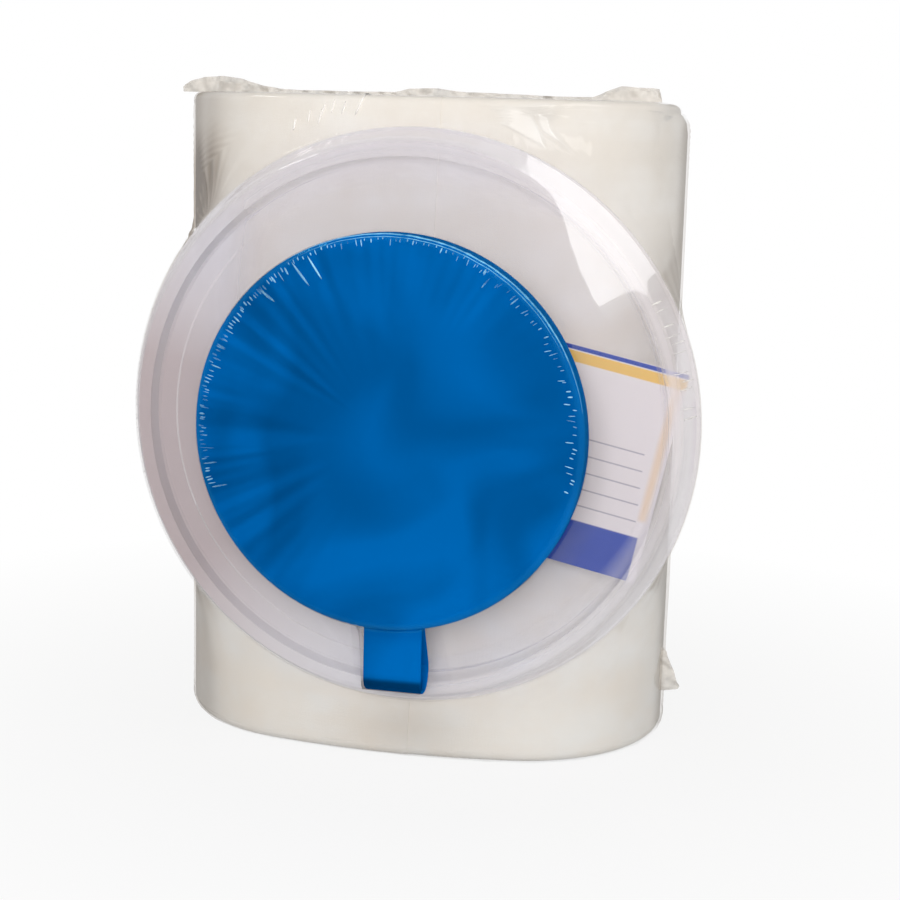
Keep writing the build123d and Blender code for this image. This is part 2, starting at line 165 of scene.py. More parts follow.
def add_softbox(name, direction, distance, size, power, colour=(1, 1, 1), turn=0.0, mirrored=True):
    """A rectangular lamp that looks at the middle of the lid.

    Its direction is the way from the lid to the lamp, and its size is in metres, as its distance.
    """
    data = bpy.data.lights.new(name, "AREA")
    data.shape = "RECTANGLE"
    data.size, data.size_y = size
    data.energy = power
    data.color = colour
    lamp = bpy.data.objects.new(name, data)
    bpy.context.scene.collection.objects.link(lamp)
    back = Vector(direction).normalized()
    level = Vector((0, 0, 1)).cross(back).normalized()
    right = level * math.cos(turn) + back.cross(level) * math.sin(turn)
    lamp.matrix_world = aimed_matrix(lamp_aim + back * distance, back, right)
    lamp.visible_glossy = mirrored
    return lamp


warm_white = (1.0, 0.985, 0.96)
shoulder_turn = math.radians(30)
add_softbox("key_softbox", (0.16, -0.96, 0.24), 1.5, (0.70, 0.50), 10.9, warm_white, mirrored=False)
add_softbox("left_softbox", (-0.85, -0.45, 0.10), 1.3, (0.20, 0.70), 0.8, mirrored=False)
add_softbox("wedge_softbox", (0.575, -0.42, 0.70), 1.2, (0.42, 1.0), 1.7, turn=shoulder_turn)
add_softbox("top_softbox", (0.355, -0.676, 0.647), 1.2, (0.50, 0.34), 0.26)
add_softbox("sky_softbox", (-0.05, -0.77, 0.64), 1.1, (0.56, 0.34), 1.25, mirrored=False)
add_softbox("edge_lamp_right", (0.87, -0.41, 0.10), 1.2, (0.10, 0.50), 1.4, mirrored=False)
add_softbox("edge_lamp_left", (-0.62, -0.25, 0.74), 1.2, (0.40, 0.08), 0.8)

# %% World
ambient_strength = 0.25
ambient_white = (1.0, 0.95, 0.89, 1)


def make_world():
    """White for the camera and for gloss, and a soft grey level for everything it lights."""
    world = bpy.data.worlds.new("studio")
    bpy.context.scene.world = world
    world.use_nodes = True
    nodes, links = world.node_tree.nodes, world.node_tree.links
    nodes.clear()
    output = nodes.new("ShaderNodeOutputWorld")
    seen = nodes.new("ShaderNodeBackground")
    seen.inputs["Color"].default_value = (1, 1, 1, 1)
    ambient = nodes.new("ShaderNodeBackground")
    ambient.inputs["Color"].default_value = ambient_white
    ambient.inputs["Strength"].default_value = ambient_strength
    path = nodes.new("ShaderNodeLightPath")
    either = nodes.new("ShaderNodeMath")
    either.operation = "MAXIMUM"
    links.new(path.outputs["Is Camera Ray"], either.inputs[0])
    links.new(path.outputs["Is Glossy Ray"], either.inputs[1])
    any_seen = nodes.new("ShaderNodeMath")
    any_seen.operation = "MAXIMUM"
    links.new(either.outputs[0], any_seen.inputs[0])
    links.new(path.outputs["Is Transmission Ray"], any_seen.inputs[1])
    mix = nodes.new("ShaderNodeMixShader")
    links.new(any_seen.outputs[0], mix.inputs["Fac"])
    links.new(ambient.outputs[0], mix.inputs[1])
    links.new(seen.outputs[0], mix.inputs[2])
    links.new(mix.outputs[0], output.inputs["Surface"])


make_world()
bpy.context.scene.view_settings.view_transform = "Standard"

# %% [markdown]
# ## Helpers for meshes
#
# The soft pieces are grids bent round the roll or turned about the lid's axis. A grid is easy to
# compute with numpy: one array of places, rows by columns, and quads between neighbours.

# %% Grid meshes


def grid_quads(rows, columns, first=0, close_columns=False, close_rows=False):
    """Quads between neighbouring points of a grid whose points are numbered row by row."""
    quads = []
    for row in range(rows if close_rows else rows - 1):
        for column in range(columns if close_columns else columns - 1):
            next_row = (row + 1) % rows
            next_column = (column + 1) % columns
            quads.append(
                (
                    first + row * columns + column,
                    first + row * columns + next_column,
                    first + next_row * columns + next_column,
                    first + next_row * columns + column,
                )
            )
    return quads


def new_piece(name, places, faces, material, weld=1e-6):
    """A mesh object in the row frame, with doubles merged and normals pointing outwards."""
    mesh = bpy.data.meshes.new(name)
    mesh.from_pydata([tuple(place) for place in places], [], faces)
    shape = bmesh.new()
    shape.from_mesh(mesh)
    bmesh.ops.remove_doubles(shape, verts=shape.verts, dist=weld)
    bmesh.ops.dissolve_degenerate(shape, edges=shape.edges, dist=weld)
    bmesh.ops.recalc_face_normals(shape, faces=shape.faces)
    shape.to_mesh(mesh)
    shape.free()
    mesh.shade_smooth()
    mesh.materials.append(material)
    piece = bpy.data.objects.new(name, mesh)
    bpy.context.scene.collection.objects.link(piece)
    print(name, len(mesh.polygons), "faces")
    return piece


def vertex_vectors(mesh, kind):
    """Places or normals of a mesh's vertices as rows of three."""
    values = np.empty(len(mesh.vertices) * 3)
    mesh.vertices.foreach_get(kind, values)
    return values.reshape(-1, 3)


def turned_places(radius, stack, clock):
    """Places about the lid's axis, from radius, stack height and clock angle."""
    across = lid_x + radius * np.cos(clock)
    return np.stack([across, roll_front - stack, lid_z + radius * np.sin(clock)], 1)


def smooth_step(low, high, value):
    """0 below low, 1 above high, with an even run between; low may be the larger one."""
    share = np.clip((np.asarray(value, float) - low) / (high - low), 0, 1)
    return share * share * (3 - 2 * share)


def ripple(angle, fewest, most, seed):
    """An uneven wave round a full turn, between about -1 and 1, from whole numbers of waves.

    The sizes named "waves" below are its last three inputs: fewest waves, most waves and seed.
    """
    random = np.random.default_rng(seed)
    counts = np.arange(fewest, most + 1)
    phases = random.uniform(0, 2 * math.pi, len(counts))
    weights = random.uniform(0.4, 1.0, len(counts))
    waves = np.cos(np.multiply.outer(np.asarray(angle, float), counts) + phases)
    return (waves * weights).sum(-1) / math.sqrt((weights**2).sum() * 1.2)


# %% [markdown]
# ## Shader helpers
#
# Some effects are wanted in more than one finish: the crossed fibres of the non-woven web, the
# polar directions about the lid's axis, and the streaks that shrink film pulls into, which all
# point at the middle of the lid. Each is a node group with named inputs, so that a finish only
# sets its own scale and strength. The small functions below keep the node trees short to write.

# %% Node tree helpers


def start_material(name):
    """An empty material with its output node."""
    material = bpy.data.materials.new(name)
    material.use_nodes = True
    material.node_tree.nodes.clear()
    output = material.node_tree.nodes.new("ShaderNodeOutputMaterial")
    return material, material.node_tree, output


def add_node(tree, kind, values=None, **settings):
    """A node with its settings, and its input values or links given by socket name or number."""
    node = tree.nodes.new(kind)
    for setting, value in settings.items():
        setattr(node, setting, value)
    for socket, value in (values or {}).items():
        if isinstance(value, bpy.types.NodeSocket):
            tree.links.new(value, node.inputs[socket])
        else:
            node.inputs[socket].default_value = value
    return node


def calc(tree, operation, first, second=0.0, third=0.0, clamp=False):
    """The output of one Math node."""
    node = add_node(tree, "ShaderNodeMath", {0: first, 1: second, 2: third}, operation=operation)
    node.use_clamp = clamp
    return node.outputs[0]


def blend_colours(tree, share, first, second):
    """The output of a colour Mix node."""
    node = tree.nodes.new("ShaderNodeMix")
    node.data_type = "RGBA"
    for socket, value in ((0, share), (6, first), (7, second)):
        if isinstance(value, bpy.types.NodeSocket):
            tree.links.new(value, node.inputs[socket])
        else:
            node.inputs[socket].default_value = value
    return node.outputs[2]


def scaled_colour(colour, shares):
    """A colour with each of its channels scaled by its own share."""
    return tuple(channel * share for channel, share in zip(colour, shares)) + (1,)


def vector_calc(tree, operation, first, second=(0, 0, 0)):
    """One Vector Math node."""
    return add_node(tree, "ShaderNodeVectorMath", {0: first, 1: second}, operation=operation)


def noise(tree, place, scale, detail, **settings):
    """The value of a noise texture; roughness and distortion are named as on the node."""
    values = {"Vector": place, "Scale": scale, "Detail": detail}
    values.update({name.capitalize(): value for name, value in settings.items()})
    return add_node(tree, "ShaderNodeTexNoise", values).outputs["Fac"]


def skin_bump(tree, height, strength, distance):
    """The normal that a fine height gives."""
    values = {"Height": height, "Strength": strength, "Distance": distance}
    return add_node(tree, "ShaderNodeBump", values).outputs[0]


def mix_shaders(tree, share, first, second):
    """The output of a Mix Shader node."""
    values = {0: share, 1: first, 2: second}
    return add_node(tree, "ShaderNodeMixShader", values).outputs[0]


def object_places(tree):
    """Object coordinates, which are places in the row frame, in metres."""
    return tree.nodes.new("ShaderNodeTexCoord").outputs["Object"]


def ramp(tree, value, low, high, low_value=0.0, high_value=1.0):
    """A clamped Map Range from low..high to the given values."""
    values = {"Value": value, "From Min": low, "From Max": high}
    values.update({"To Min": low_value, "To Max": high_value})
    return add_node(tree, "ShaderNodeMapRange", values).outputs["Result"]


def new_group(name, inputs, outputs):
    """A shader group with named inputs and outputs, each as (name, kind, default or None)."""
    group = bpy.data.node_groups.new(name, "ShaderNodeTree")
    for way, sockets in (("INPUT", inputs), ("OUTPUT", outputs)):
        for label, kind, value in sockets:
            socket = group.interface.new_socket(label, in_out=way, socket_type="NodeSocket" + kind)
            if value is not None:
                socket.default_value = value
    return group, group.nodes.new("NodeGroupInput"), group.nodes.new("NodeGroupOutput")


# %% Non-woven fibre group
fibre_stretches = ((1.0, 1.0, 0.18), (0.22, 0.22, 1.0))
cloud_fineness = 0.03
cloud_weight = 0.7
fibre_weight = 0.15


def make_fibre_group():
    """Group: fine crossed fibres with a soft cloudiness, as a height and a shade."""
    group, given, result = new_group(
        "nonwoven_fibre",
        [("Place", "Vector", None), ("Fibre spacing", "Float", 0.7 * mm)],
        [("Height", "Float", None), ("Shade", "Float", None)],
    )
    frequency = calc(group, "DIVIDE", 1.0, given.outputs["Fibre spacing"])
    lengths = []
    for stretch in fibre_stretches:
        squeezed = vector_calc(group, "MULTIPLY", given.outputs["Place"], stretch)
        lengths.append(noise(group, squeezed.outputs[0], frequency, 3.0, roughness=0.65))
    height = calc(group, "ADD", lengths[0], lengths[1])
    cloud_scale = calc(group, "MULTIPLY", frequency, cloud_fineness)
    cloud = noise(group, given.outputs["Place"], cloud_scale, 4.0)
    fibre_shade = calc(group, "MULTIPLY", height, fibre_weight)
    shade = calc(group, "MULTIPLY_ADD", cloud, cloud_weight, fibre_shade)
    group.links.new(height, result.inputs["Height"])
    group.links.new(shade, result.inputs["Shade"])
    return group


fibre_group = make_fibre_group()

# %% Polar group


def make_polar_group():
    """Group: distance from the lid's axis, and the direction away from it as a unit vector."""
    group, given, result = new_group(
        "lid_polar",
        [("Place", "Vector", None)],
        [("Radius", "Float", None), ("Direction", "Vector", None)],
    )
    centred = vector_calc(group, "SUBTRACT", given.outputs["Place"], (lid_x, 0, lid_z))
    flat = vector_calc(group, "MULTIPLY", centred.outputs[0], (1, 0, 1))
    length = vector_calc(group, "LENGTH", flat.outputs[0])
    unit = vector_calc(group, "NORMALIZE", flat.outputs[0])
    group.links.new(length.outputs["Value"], result.inputs["Radius"])
    group.links.new(unit.outputs[0], result.inputs["Direction"])
    return group


polar_group = make_polar_group()


def polar_places(tree, place):
    """Radius and direction sockets of a polar group placed in a tree."""
    polar = add_node(tree, "ShaderNodeGroup", node_tree=polar_group)
    tree.links.new(place, polar.inputs["Place"])
    return polar.outputs["Radius"], polar.outputs["Direction"]


# %% Film streak group


def make_streak_group():
    """Group: streaks that run to the lid's axis, finer with a larger count, as a mask."""
    group, given, result = new_group(
        "film_streaks",
        [
            ("Place", "Vector", None),
            ("Streak count", "Float", 12.0),
            ("Streak length", "Float", 60 * mm),
        ],
        [("Mask", "Float", None)],
    )
    count = given.outputs["Streak count"]
    radius, direction = polar_places(group, given.outputs["Place"])
    lengths = calc(group, "DIVIDE", radius, given.outputs["Streak length"])
    run = calc(group, "DIVIDE", lengths, count)
    depth = add_node(group, "ShaderNodeCombineXYZ", {1: run})
    along = vector_calc(group, "ADD", direction, depth.outputs[0])
    mask = noise(group, along.outputs[0], count, 2.5, roughness=0.55)
    group.links.new(mask, result.inputs["Mask"])
    return group


streak_group = make_streak_group()

# %% [markdown]
# ## Finishes of the web and the mouldings
#
# Each finish below is one short function. The mouldings are plain Principled surfaces with a
# little bump, because a moulded skin is never perfectly even. The lid is frosted: a wall seen flat
# on is nearly clear, and one seen edge on is milky, which Layer Weight gives. Its rim, thicker
# than its panel, is hazier, and haze reaches further in where the film above it blurs the rim.
# Light and shade are painted into its colour: grey and hazier on the side away from the light,
# lighter towards it, lilac at the top, cooler at the foot, and lighter on walls seen edge on.

# %% Non-woven finish
web_white = (0.86, 0.835, 0.80)
hollow_shares = (0.93, 0.90, 0.86)
foot_shares = (0.96, 0.995, 1.03)
foot_heights = (120 * mm, 40 * mm)
band_stretch = (3.0, 3.0, 55.0)
fibre_spacing = 0.7 * mm


def make_nonwoven(name, tone, spacing):
    """Warm white wipes: soft sheen, crossed fibres and slow changes of tone."""
    material, tree, output = start_material(name)
    place = object_places(tree)
    fibre = add_node(tree, "ShaderNodeGroup", node_tree=fibre_group)
    tree.links.new(place, fibre.inputs["Place"])
    fibre.inputs["Fibre spacing"].default_value = spacing
    clouded = ramp(tree, fibre.outputs["Shade"], 0.32, 0.62)
    banded = noise(tree, vector_calc(tree, "MULTIPLY", place, band_stretch).outputs[0], 1.0, 3.0)
    share = calc(tree, "MULTIPLY", clouded, ramp(tree, banded, 0.35, 0.60, 0.35, 1.0))
    height = add_node(tree, "ShaderNodeSeparateXYZ", {0: place}).outputs[2]
    low = ramp(tree, height, *foot_heights)
    level_tone = blend_colours(tree, low, tone + (1,), scaled_colour(tone, foot_shares))
    colour = blend_colours(tree, share, scaled_colour(tone, hollow_shares), level_tone)
    surface = add_node(
        tree,
        "ShaderNodeBsdfPrincipled",
        {
            "Base Color": colour,
            "Roughness": 0.92,
            "Specular IOR Level": 0.15,
            "Sheen Weight": 0.12,
            "Sheen Roughness": 0.6,
            "Normal": skin_bump(tree, fibre.outputs["Height"], 0.22, 0.25 * mm),
        },
    )
    tree.links.new(surface.outputs[0], output.inputs["Surface"])
    return material


roll_cloth = make_nonwoven("roll_cloth", web_white, fibre_spacing)

# %% Moulded plastic finish
flow_share = 0.93
uneven_polish = 0.05


def make_moulded(name, colour, roughness, gloss):
    """Opaque moulded plastic with a faint uneven skin."""
    material, tree, output = start_material(name)
    place = object_places(tree)
    skin = noise(tree, place, 260.0, 4.0)
    flow = noise(tree, place, 18.0, 2.0)
    tone = blend_colours(tree, flow, scaled_colour(colour, (flow_share,) * 3), colour + (1,))
    uneven = ramp(tree, skin, 0.3, 0.7, roughness - uneven_polish, roughness + uneven_polish)
    surface = add_node(
        tree,
        "ShaderNodeBsdfPrincipled",
        {
            "Base Color": tone,
            "Roughness": uneven,
            "Specular IOR Level": gloss,
            "Normal": skin_bump(tree, skin, 0.12, 0.1 * mm),
        },
    )
    tree.links.new(surface.outputs[0], output.inputs["Surface"])
    return material


cap_blue = make_moulded("cap_blue", (0.0, 0.156, 0.555), 0.45, 0.0)
outlet_soft = make_moulded("outlet_soft", (0.70, 0.71, 0.73), 0.55, 0.3)

# %% Frosted lid finish
panel_haze = 0.03
# rim haze on the side away from the light, then on the side towards it
rim_haze = 0.92
lit_side_rim_haze = 0.42
wall_haze = 0.22
panel_shade = 0.0
rim_shade = 0.03
# painted shade and light in the lid's colour: grey away from the light, lighter towards it, lilac
# top
shaded_side_grey = (0.50, 0.425, 0.44, 1)
lit_side_tone = (0.78, 0.735, 0.75, 1)
lilac_top = (0.68, 0.66, 0.71, 1)
cool_foot = (0.76, 0.75, 0.79, 1)
painted_wall_light = (0.92, 0.90, 0.93, 1)
lid_tint = (0.983, 0.981, 1.0, 1)
light_way = (0.94, 0, 0.34)
top_way = (-0.30, 0, 0.954)
haze_start = 97.5 * mm
haze_width = 4 * mm
# the haze starts further in on the side away from the light, and where it is blurred
shade_side_reach = -24 * mm
blurred_reach = -9 * mm
blurred_width = 14 * mm
shade_run = (96 * mm, 99 * mm)


def seen_share(tree, share, shadow_share):
    """The share for rays that look at the surface, and another one for shadow rays."""
    path = tree.nodes.new("ShaderNodeLightPath")
    is_shadow = path.outputs["Is Shadow Ray"]
    looked_at = calc(tree, "MULTIPLY", share, calc(tree, "SUBTRACT", 1.0, is_shadow))
    return calc(tree, "MULTIPLY_ADD", is_shadow, shadow_share, looked_at, clamp=True)


def rim_share(tree, radius, away_from_light, blurred):
    """0 on the lid's panel and 1 at its rim; the run starts further in where it is blurred."""
    starts = calc(tree, "MULTIPLY_ADD", away_from_light, shade_side_reach, haze_start)
    starts = calc(tree, "MULTIPLY_ADD", blurred, blurred_reach, starts)
    width = calc(tree, "MULTIPLY_ADD", blurred, blurred_width, haze_width)
    return calc(tree, "DIVIDE", calc(tree, "SUBTRACT", radius, starts), width, clamp=True)


def make_frosted():
    """Translucent moulding: hazy at its rim and edge-on walls, with painted light and shade."""
    material, tree, output = start_material("frosted_lid")
    place = object_places(tree)
    radius, direction = polar_places(tree, place)
    to_light = vector_calc(tree, "DOT_PRODUCT", direction, light_way).outputs["Value"]
    to_top = vector_calc(tree, "DOT_PRODUCT", direction, top_way).outputs["Value"]
    lit_and_cloudy = calc(tree, "MULTIPLY_ADD", noise(tree, place, 22.0, 3.0), 0.35, to_light)
    top = ramp(tree, to_top, 0.50, 0.85)
    foot = ramp(tree, to_top, -0.30, -0.90)
    facing = add_node(tree, "ShaderNodeLayerWeight", {"Blend": 0.35})
    steep = ramp(tree, facing.outputs["Facing"], 0.20, 0.60)
    # painted shade on the side away from the light, painted light towards it
    colour = blend_colours(tree, ramp(tree, lit_and_cloudy, -0.75, 0.75), shaded_side_grey, lit_side_tone)
    # painted light at the top and on walls seen edge on, undoing their shading; cooler at the foot
    for share, tone in ((top, lilac_top), (foot, cool_foot), (steep, painted_wall_light)):
        colour = blend_colours(tree, share, colour, tone)
    body = add_node(
        tree,
        "ShaderNodeBsdfPrincipled",
        {
            "Base Color": colour,
            "Roughness": 0.42,
            "Specular IOR Level": 0.3,
            "Normal": skin_bump(tree, noise(tree, place, 500.0, 3.0), 0.15, 0.08 * mm),
        },
    )
    clear = add_node(tree, "ShaderNodeBsdfTransparent", {"Color": lid_tint})
    # hazier on the side away from the light, where the painted grey shows
    away_from_light = ramp(tree, to_light, -0.30, -0.70)
    blurred = calc(tree, "MAXIMUM", top, foot)
    reached = rim_share(tree, radius, away_from_light, blurred)
    most = calc(tree, "MULTIPLY_ADD", away_from_light, rim_haze - lit_side_rim_haze, lit_side_rim_haze)
    rim = calc(tree, "MULTIPLY_ADD", reached, most, panel_haze)
    crisp = calc(tree, "MULTIPLY", steep, calc(tree, "SUBTRACT", 1.0, blurred))
    to_wall = calc(tree, "SUBTRACT", wall_haze, rim)
    haze = calc(tree, "MULTIPLY_ADD", crisp, to_wall, rim, clamp=True)
    shade = ramp(tree, radius, *shade_run, panel_shade, rim_shade)
    mix = mix_shaders(tree, seen_share(tree, haze, shade), clear.outputs[0], body.outputs[0])
    tree.links.new(mix, output.inputs["Surface"])
    return material


frosted = make_frosted()

# %% [markdown]
# ## Finishes of the film
#
# Shrink film is mostly a Transparent shader with a thin gloss on top: it must let lamps through,
# and real refraction would only make it dark and slow. The gloss follows Fresnel, and a gain makes
# it strong on taut facets and weak elsewhere. Painted shade tints what is behind the film: warm
# along its folds, on the roll's dark edges and in two painted shadows by the lid, and grey on the
# cap along its creases and zones. Two attributes on the mesh say where: painted_shade and
# taut_share. Crushed film has lost its clearness and is partly matt.

# %% Shrink film finish
film_ior = 1.45
film_polish = 0.12
plain_shine = (1, 1, 1, 1)
blue_shine = (0.10, 0.70, 1.0, 1)
# warm colour of the painted shade on the wrap
painted_shade_tint = (0.42, 0.36, 0.30, 1)
crushed_white = (0.76, 0.73, 0.69, 1)
wrap_gain = 1.4
facet_gain = 5.0
crushed_gain = 1.5
wrap_most = 0.18
edge_most = 0.05
milk_shadow = 0.02


def film_shader(tree, output, height, tint, shine, milk, bump_strength):
    """Clear film with a shine of (gain, most, colour), and matt milk where it is crushed."""
    shine_gain, most_shine, shine_colour = shine
    normal = skin_bump(tree, height, bump_strength, 0.6 * mm)
    gloss = add_node(
        tree,
        "ShaderNodeBsdfGlossy",
        {"Color": shine_colour, "Roughness": film_polish, "Normal": normal},
    )
    matt = add_node(
        tree,
        "ShaderNodeBsdfPrincipled",
        {
            "Base Color": crushed_white,
            "Roughness": 0.35,
            "Specular IOR Level": 0.4,
            "Normal": normal,
        },
    )
    clear = add_node(tree, "ShaderNodeBsdfTransparent", {"Color": tint})
    fresnel = add_node(tree, "ShaderNodeFresnel", {"IOR": film_ior, "Normal": normal})
    reflected = calc(tree, "MULTIPLY", fresnel.outputs[0], shine_gain)
    shine_share = seen_share(tree, calc(tree, "MINIMUM", reflected, most_shine), 0.0)
    skin = mix_shaders(tree, shine_share, clear.outputs[0], gloss.outputs[0])
    mix = mix_shaders(tree, seen_share(tree, milk, milk_shadow), skin, matt.outputs[0])
    tree.links.new(mix, output.inputs["Surface"])


def grey(tree, value):
    """A grey colour from a value socket."""
    return add_node(tree, "ShaderNodeCombineColor", {0: value, 1: value, 2: value}).outputs[0]


def film_streaks(tree, place, count, length):
    """The mask of a streak group placed in a tree."""
    streaks = add_node(tree, "ShaderNodeGroup", node_tree=streak_group)
    tree.links.new(place, streaks.inputs["Place"])
    streaks.inputs["Streak count"].default_value = count
    streaks.inputs["Streak length"].default_value = length
    return streaks.outputs["Mask"]


def own_attribute(tree, name):
    """A number that the piece's mesh keeps for each of its vertices."""
    return add_node(tree, "ShaderNodeAttribute", attribute_name=name).outputs["Fac"]


# %% Film on the roll and over the lid


def make_wrap_film():
    """Film on the roll and over the lid: painted warm shade, strong shine on taut facets."""
    material, tree, output = start_material("wrap_film")
    place = object_places(tree)
    fine = noise(tree, place, 45.0, 3.0, distortion=0.6)
    streaks = film_streaks(tree, place, 9.0, 70 * mm)
    height = calc(tree, "MULTIPLY_ADD", fine, 0.6, streaks)
    # painted shade: folds, dark edges and painted shadows tint the film warm
    tint = blend_colours(tree, own_attribute(tree, "painted_shade"), (1, 1, 1, 1), painted_shade_tint)
    gain = ramp(tree, own_attribute(tree, "taut_share"), 0.0, 1.0, wrap_gain, facet_gain)
    milk = ramp(tree, fine, 0.45, 0.75, 0.0, 0.03)
    film_shader(tree, output, height, tint, (gain, wrap_most, plain_shine), milk, 0.10)
    return material


wrap_film = make_wrap_film()

# %% Film on the cap


def make_cap_film():
    """Film on the cap: painted shade and painted reflection patches, glossy only round its edge."""
    material, tree, output = start_material("cap_film_finish")
    place = object_places(tree)
    radius, _ = polar_places(tree, place)
    cloud = noise(tree, place, 17.0, 2.0, roughness=0.4, distortion=1.2)
    # painted reflections: lighter and darker patches from a slow noise
    calm = ramp(tree, cloud, 0.38, 0.62, 0.84, 1.0)
    # painted shade from the mesh's attribute
    shaded = calc(tree, "SUBTRACT", 1.0, own_attribute(tree, "painted_shade"))
    tint = grey(tree, calc(tree, "MULTIPLY", calm, shaded))
    from_inside = ramp(tree, radius, cap_radius - 3.2 * mm, cap_radius - 1.6 * mm)
    to_outside = ramp(tree, radius, cap_radius + 0.8 * mm, cap_radius + 1.6 * mm, 1.0, 0.0)
    shine = (calc(tree, "MULTIPLY", from_inside, to_outside), edge_most, blue_shine)
    film_shader(tree, output, cloud, tint, shine, 0.0, 0.05)
    return material


cap_film_finish = make_cap_film()

# %% Crushed film and puckers


def make_crushed_film():
    """Doubled, crumpled film: mostly milky, with many small facets."""
    material, tree, output = start_material("crushed_film")
    place = object_places(tree)
    facets = add_node(tree, "ShaderNodeTexVoronoi", {"Vector": place, "Scale": 150.0})
    fine = noise(tree, place, 130.0, 3.0)
    height = calc(tree, "ADD", facets.outputs["Distance"], fine)
    tint = grey(tree, ramp(tree, fine, 0.35, 0.65, 0.86, 1.0))
    milk = ramp(tree, fine, 0.30, 0.65, 0.45, 0.80)
    film_shader(tree, output, height, tint, (crushed_gain, wrap_most, plain_shine), milk, 0.30)
    return material


def make_painted_highlight(name, colour, least, most):
    """Painted highlight on a pucker or edge line: bright matt colour, milky by an uneven share."""
    material, tree, output = start_material(name)
    milk = ramp(tree, noise(tree, object_places(tree), 110.0, 1.0), 0.35, 0.65, least, most)
    matt = add_node(
        tree,
        "ShaderNodeBsdfPrincipled",
        {"Base Color": colour, "Roughness": 0.25, "Specular IOR Level": 0.5},
    )
    clear = tree.nodes.new("ShaderNodeBsdfTransparent")
    share = seen_share(tree, milk, milk_shadow)
    mix = mix_shaders(tree, share, clear.outputs[0], matt.outputs[0])
    tree.links.new(mix, output.inputs["Surface"])
    return material


crushed_film = make_crushed_film()
pucker_white_highlight = make_painted_highlight("pucker_white_highlight", (0.95, 0.93, 0.91, 1), 0.35, 0.80)
pucker_blue_highlight = make_painted_highlight("pucker_blue_highlight", (0.36, 0.76, 1.0, 1), 0.10, 0.85)
painted_edge_highlight = make_painted_highlight("painted_edge_highlight", (0.20, 0.66, 1.0, 1), 0.45, 0.90)

# %% [markdown]
# ## The wound roll
#
# The roll was wound round and then pressed flat, so its outline is an oval of four tangent arcs.
# The mesh is one closed grid: its rows run up the outer wall, over the top end, down the core slot
# and back under the bottom end, and its columns run once round. The columns start at the web's
# free edge, which leans down the front, so the step of one web lies exactly between two columns.

# %% The oval
side_radius = 62 * mm
side_centre = roll_half_width - side_radius
broad_rise = roll_half_depth - side_radius
broad_centre = (side_centre**2 - broad_rise**2) / (2 * broad_rise)
broad_radius = roll_half_depth + broad_centre
tangent_turn = math.atan2(broad_centre, side_centre)
side_arc = 2 * side_radius * tangent_turn
broad_arc = broad_radius * (math.pi - 2 * tangent_turn)
oval_length = 2 * (side_arc + broad_arc)
arc_lengths = np.cumsum([0, broad_arc, side_arc, broad_arc, side_arc, broad_arc])
arc_turns = np.array(
    [
        tangent_turn - math.pi,
        -tangent_turn,
        tangent_turn,
        math.pi - tangent_turn,
        math.pi + tangent_turn,
        2 * math.pi - tangent_turn,
    ]
)


def oval_place(turn, grow):
    """Places of the oval, grown outwards, where its normal has that turn from +X."""
    along, back = np.cos(turn), np.sin(turn)
    on_side = np.abs(along) > math.cos(tangent_turn)
    middle_x = np.where(on_side, np.sign(along) * side_centre, 0)
    middle_y = np.where(on_side, 0, -np.sign(back) * broad_centre)
    radius = np.where(on_side, side_radius, broad_radius) + grow
    return roll_x + middle_x + radius * along, roll_y + middle_y + radius * back


def turn_at(length):
    """The oval's turn at a length round it, from where its front arc starts on the left."""
    return np.interp(np.mod(length, oval_length), arc_lengths, arc_turns)


print("oval length", round(oval_length / mm, 1), "mm")

# %% Eased top corners
corner_sizes = {-1: 6 * mm, 1: 11 * mm}


def ease_corners(places):
    """Rounds the two top corners, as the pulled film presses them: squares to quarter discs."""
    eased = np.array(places, float)
    for hand, size in corner_sizes.items():
        aside = hand * (eased[:, 0] - roll_x) - (roll_half_width - size)
        above = eased[:, 2] - (roll_top - size)
        inside_square = (aside > 0) & (above > 0)
        reach = np.maximum(aside, above) / np.maximum(np.hypot(aside, above), 1e-9)
        shrink = np.where(inside_square, reach - 1, 0)
        eased[:, 0] += hand * aside * shrink
        eased[:, 2] += above * shrink
    return eased


# %% The roll's mesh
low_round = 4.5 * mm
top_round = 3 * mm
web_gauge = 0.6 * mm
slot_inset = roll_half_depth - 5 * mm
tail_at_top = 15.8 * mm
tail_at_foot = 8.0 * mm
end_sink = 1.2 * mm
mean_softness = 0.24 * mm
slow_softness = 0.10 * mm
band_softness = 0.06 * mm
round_waves = (2, 7, 11)
rising_waves = (1, 4, 12)
band_waves = (5, 12, 13)
band_fade_waves = (1, 3, 14)
roll_columns = 360
bend_steps = 6
wall_rows = 56
end_rows = 14
slot_rows = 8
seam_gap = 0.99999  # the last column stops just short of the first one


def end_drop(share):
    """How far the web's end sinks between the outer turn and the slot."""
    return end_sink * min(1, 6 * share)


def roll_profile():
    """(inset from the outer wall, height) of each row, once round the wall's section."""
    rows = []
    for angle in np.linspace(0, math.pi / 2, bend_steps + 1):
        inset = low_round * (1 - math.sin(angle))
        rows.append((inset, roll_foot + low_round * (1 - math.cos(angle))))
    for height in np.linspace(roll_foot + low_round, roll_top - top_round, wall_rows)[1:]:
        rows.append((0.0, height))
    for angle in np.linspace(0, math.pi / 2, bend_steps + 1)[1:]:
        inset = top_round * (1 - math.cos(angle))
        rows.append((inset, roll_top - top_round * (1 - math.sin(angle))))
    for share in np.linspace(0, 1, end_rows)[1:]:
        inset = top_round + share * (slot_inset - top_round)
        rows.append((inset, roll_top - end_drop(share)))
    for height in np.linspace(roll_top - end_sink, roll_foot + end_sink, slot_rows)[1:]:
        rows.append((slot_inset, height))
    for share in np.linspace(1, 0, end_rows)[1:-1]:
        inset = low_round + share * (slot_inset - low_round)
        rows.append((inset, roll_foot + end_drop(share)))
    return np.array(rows)


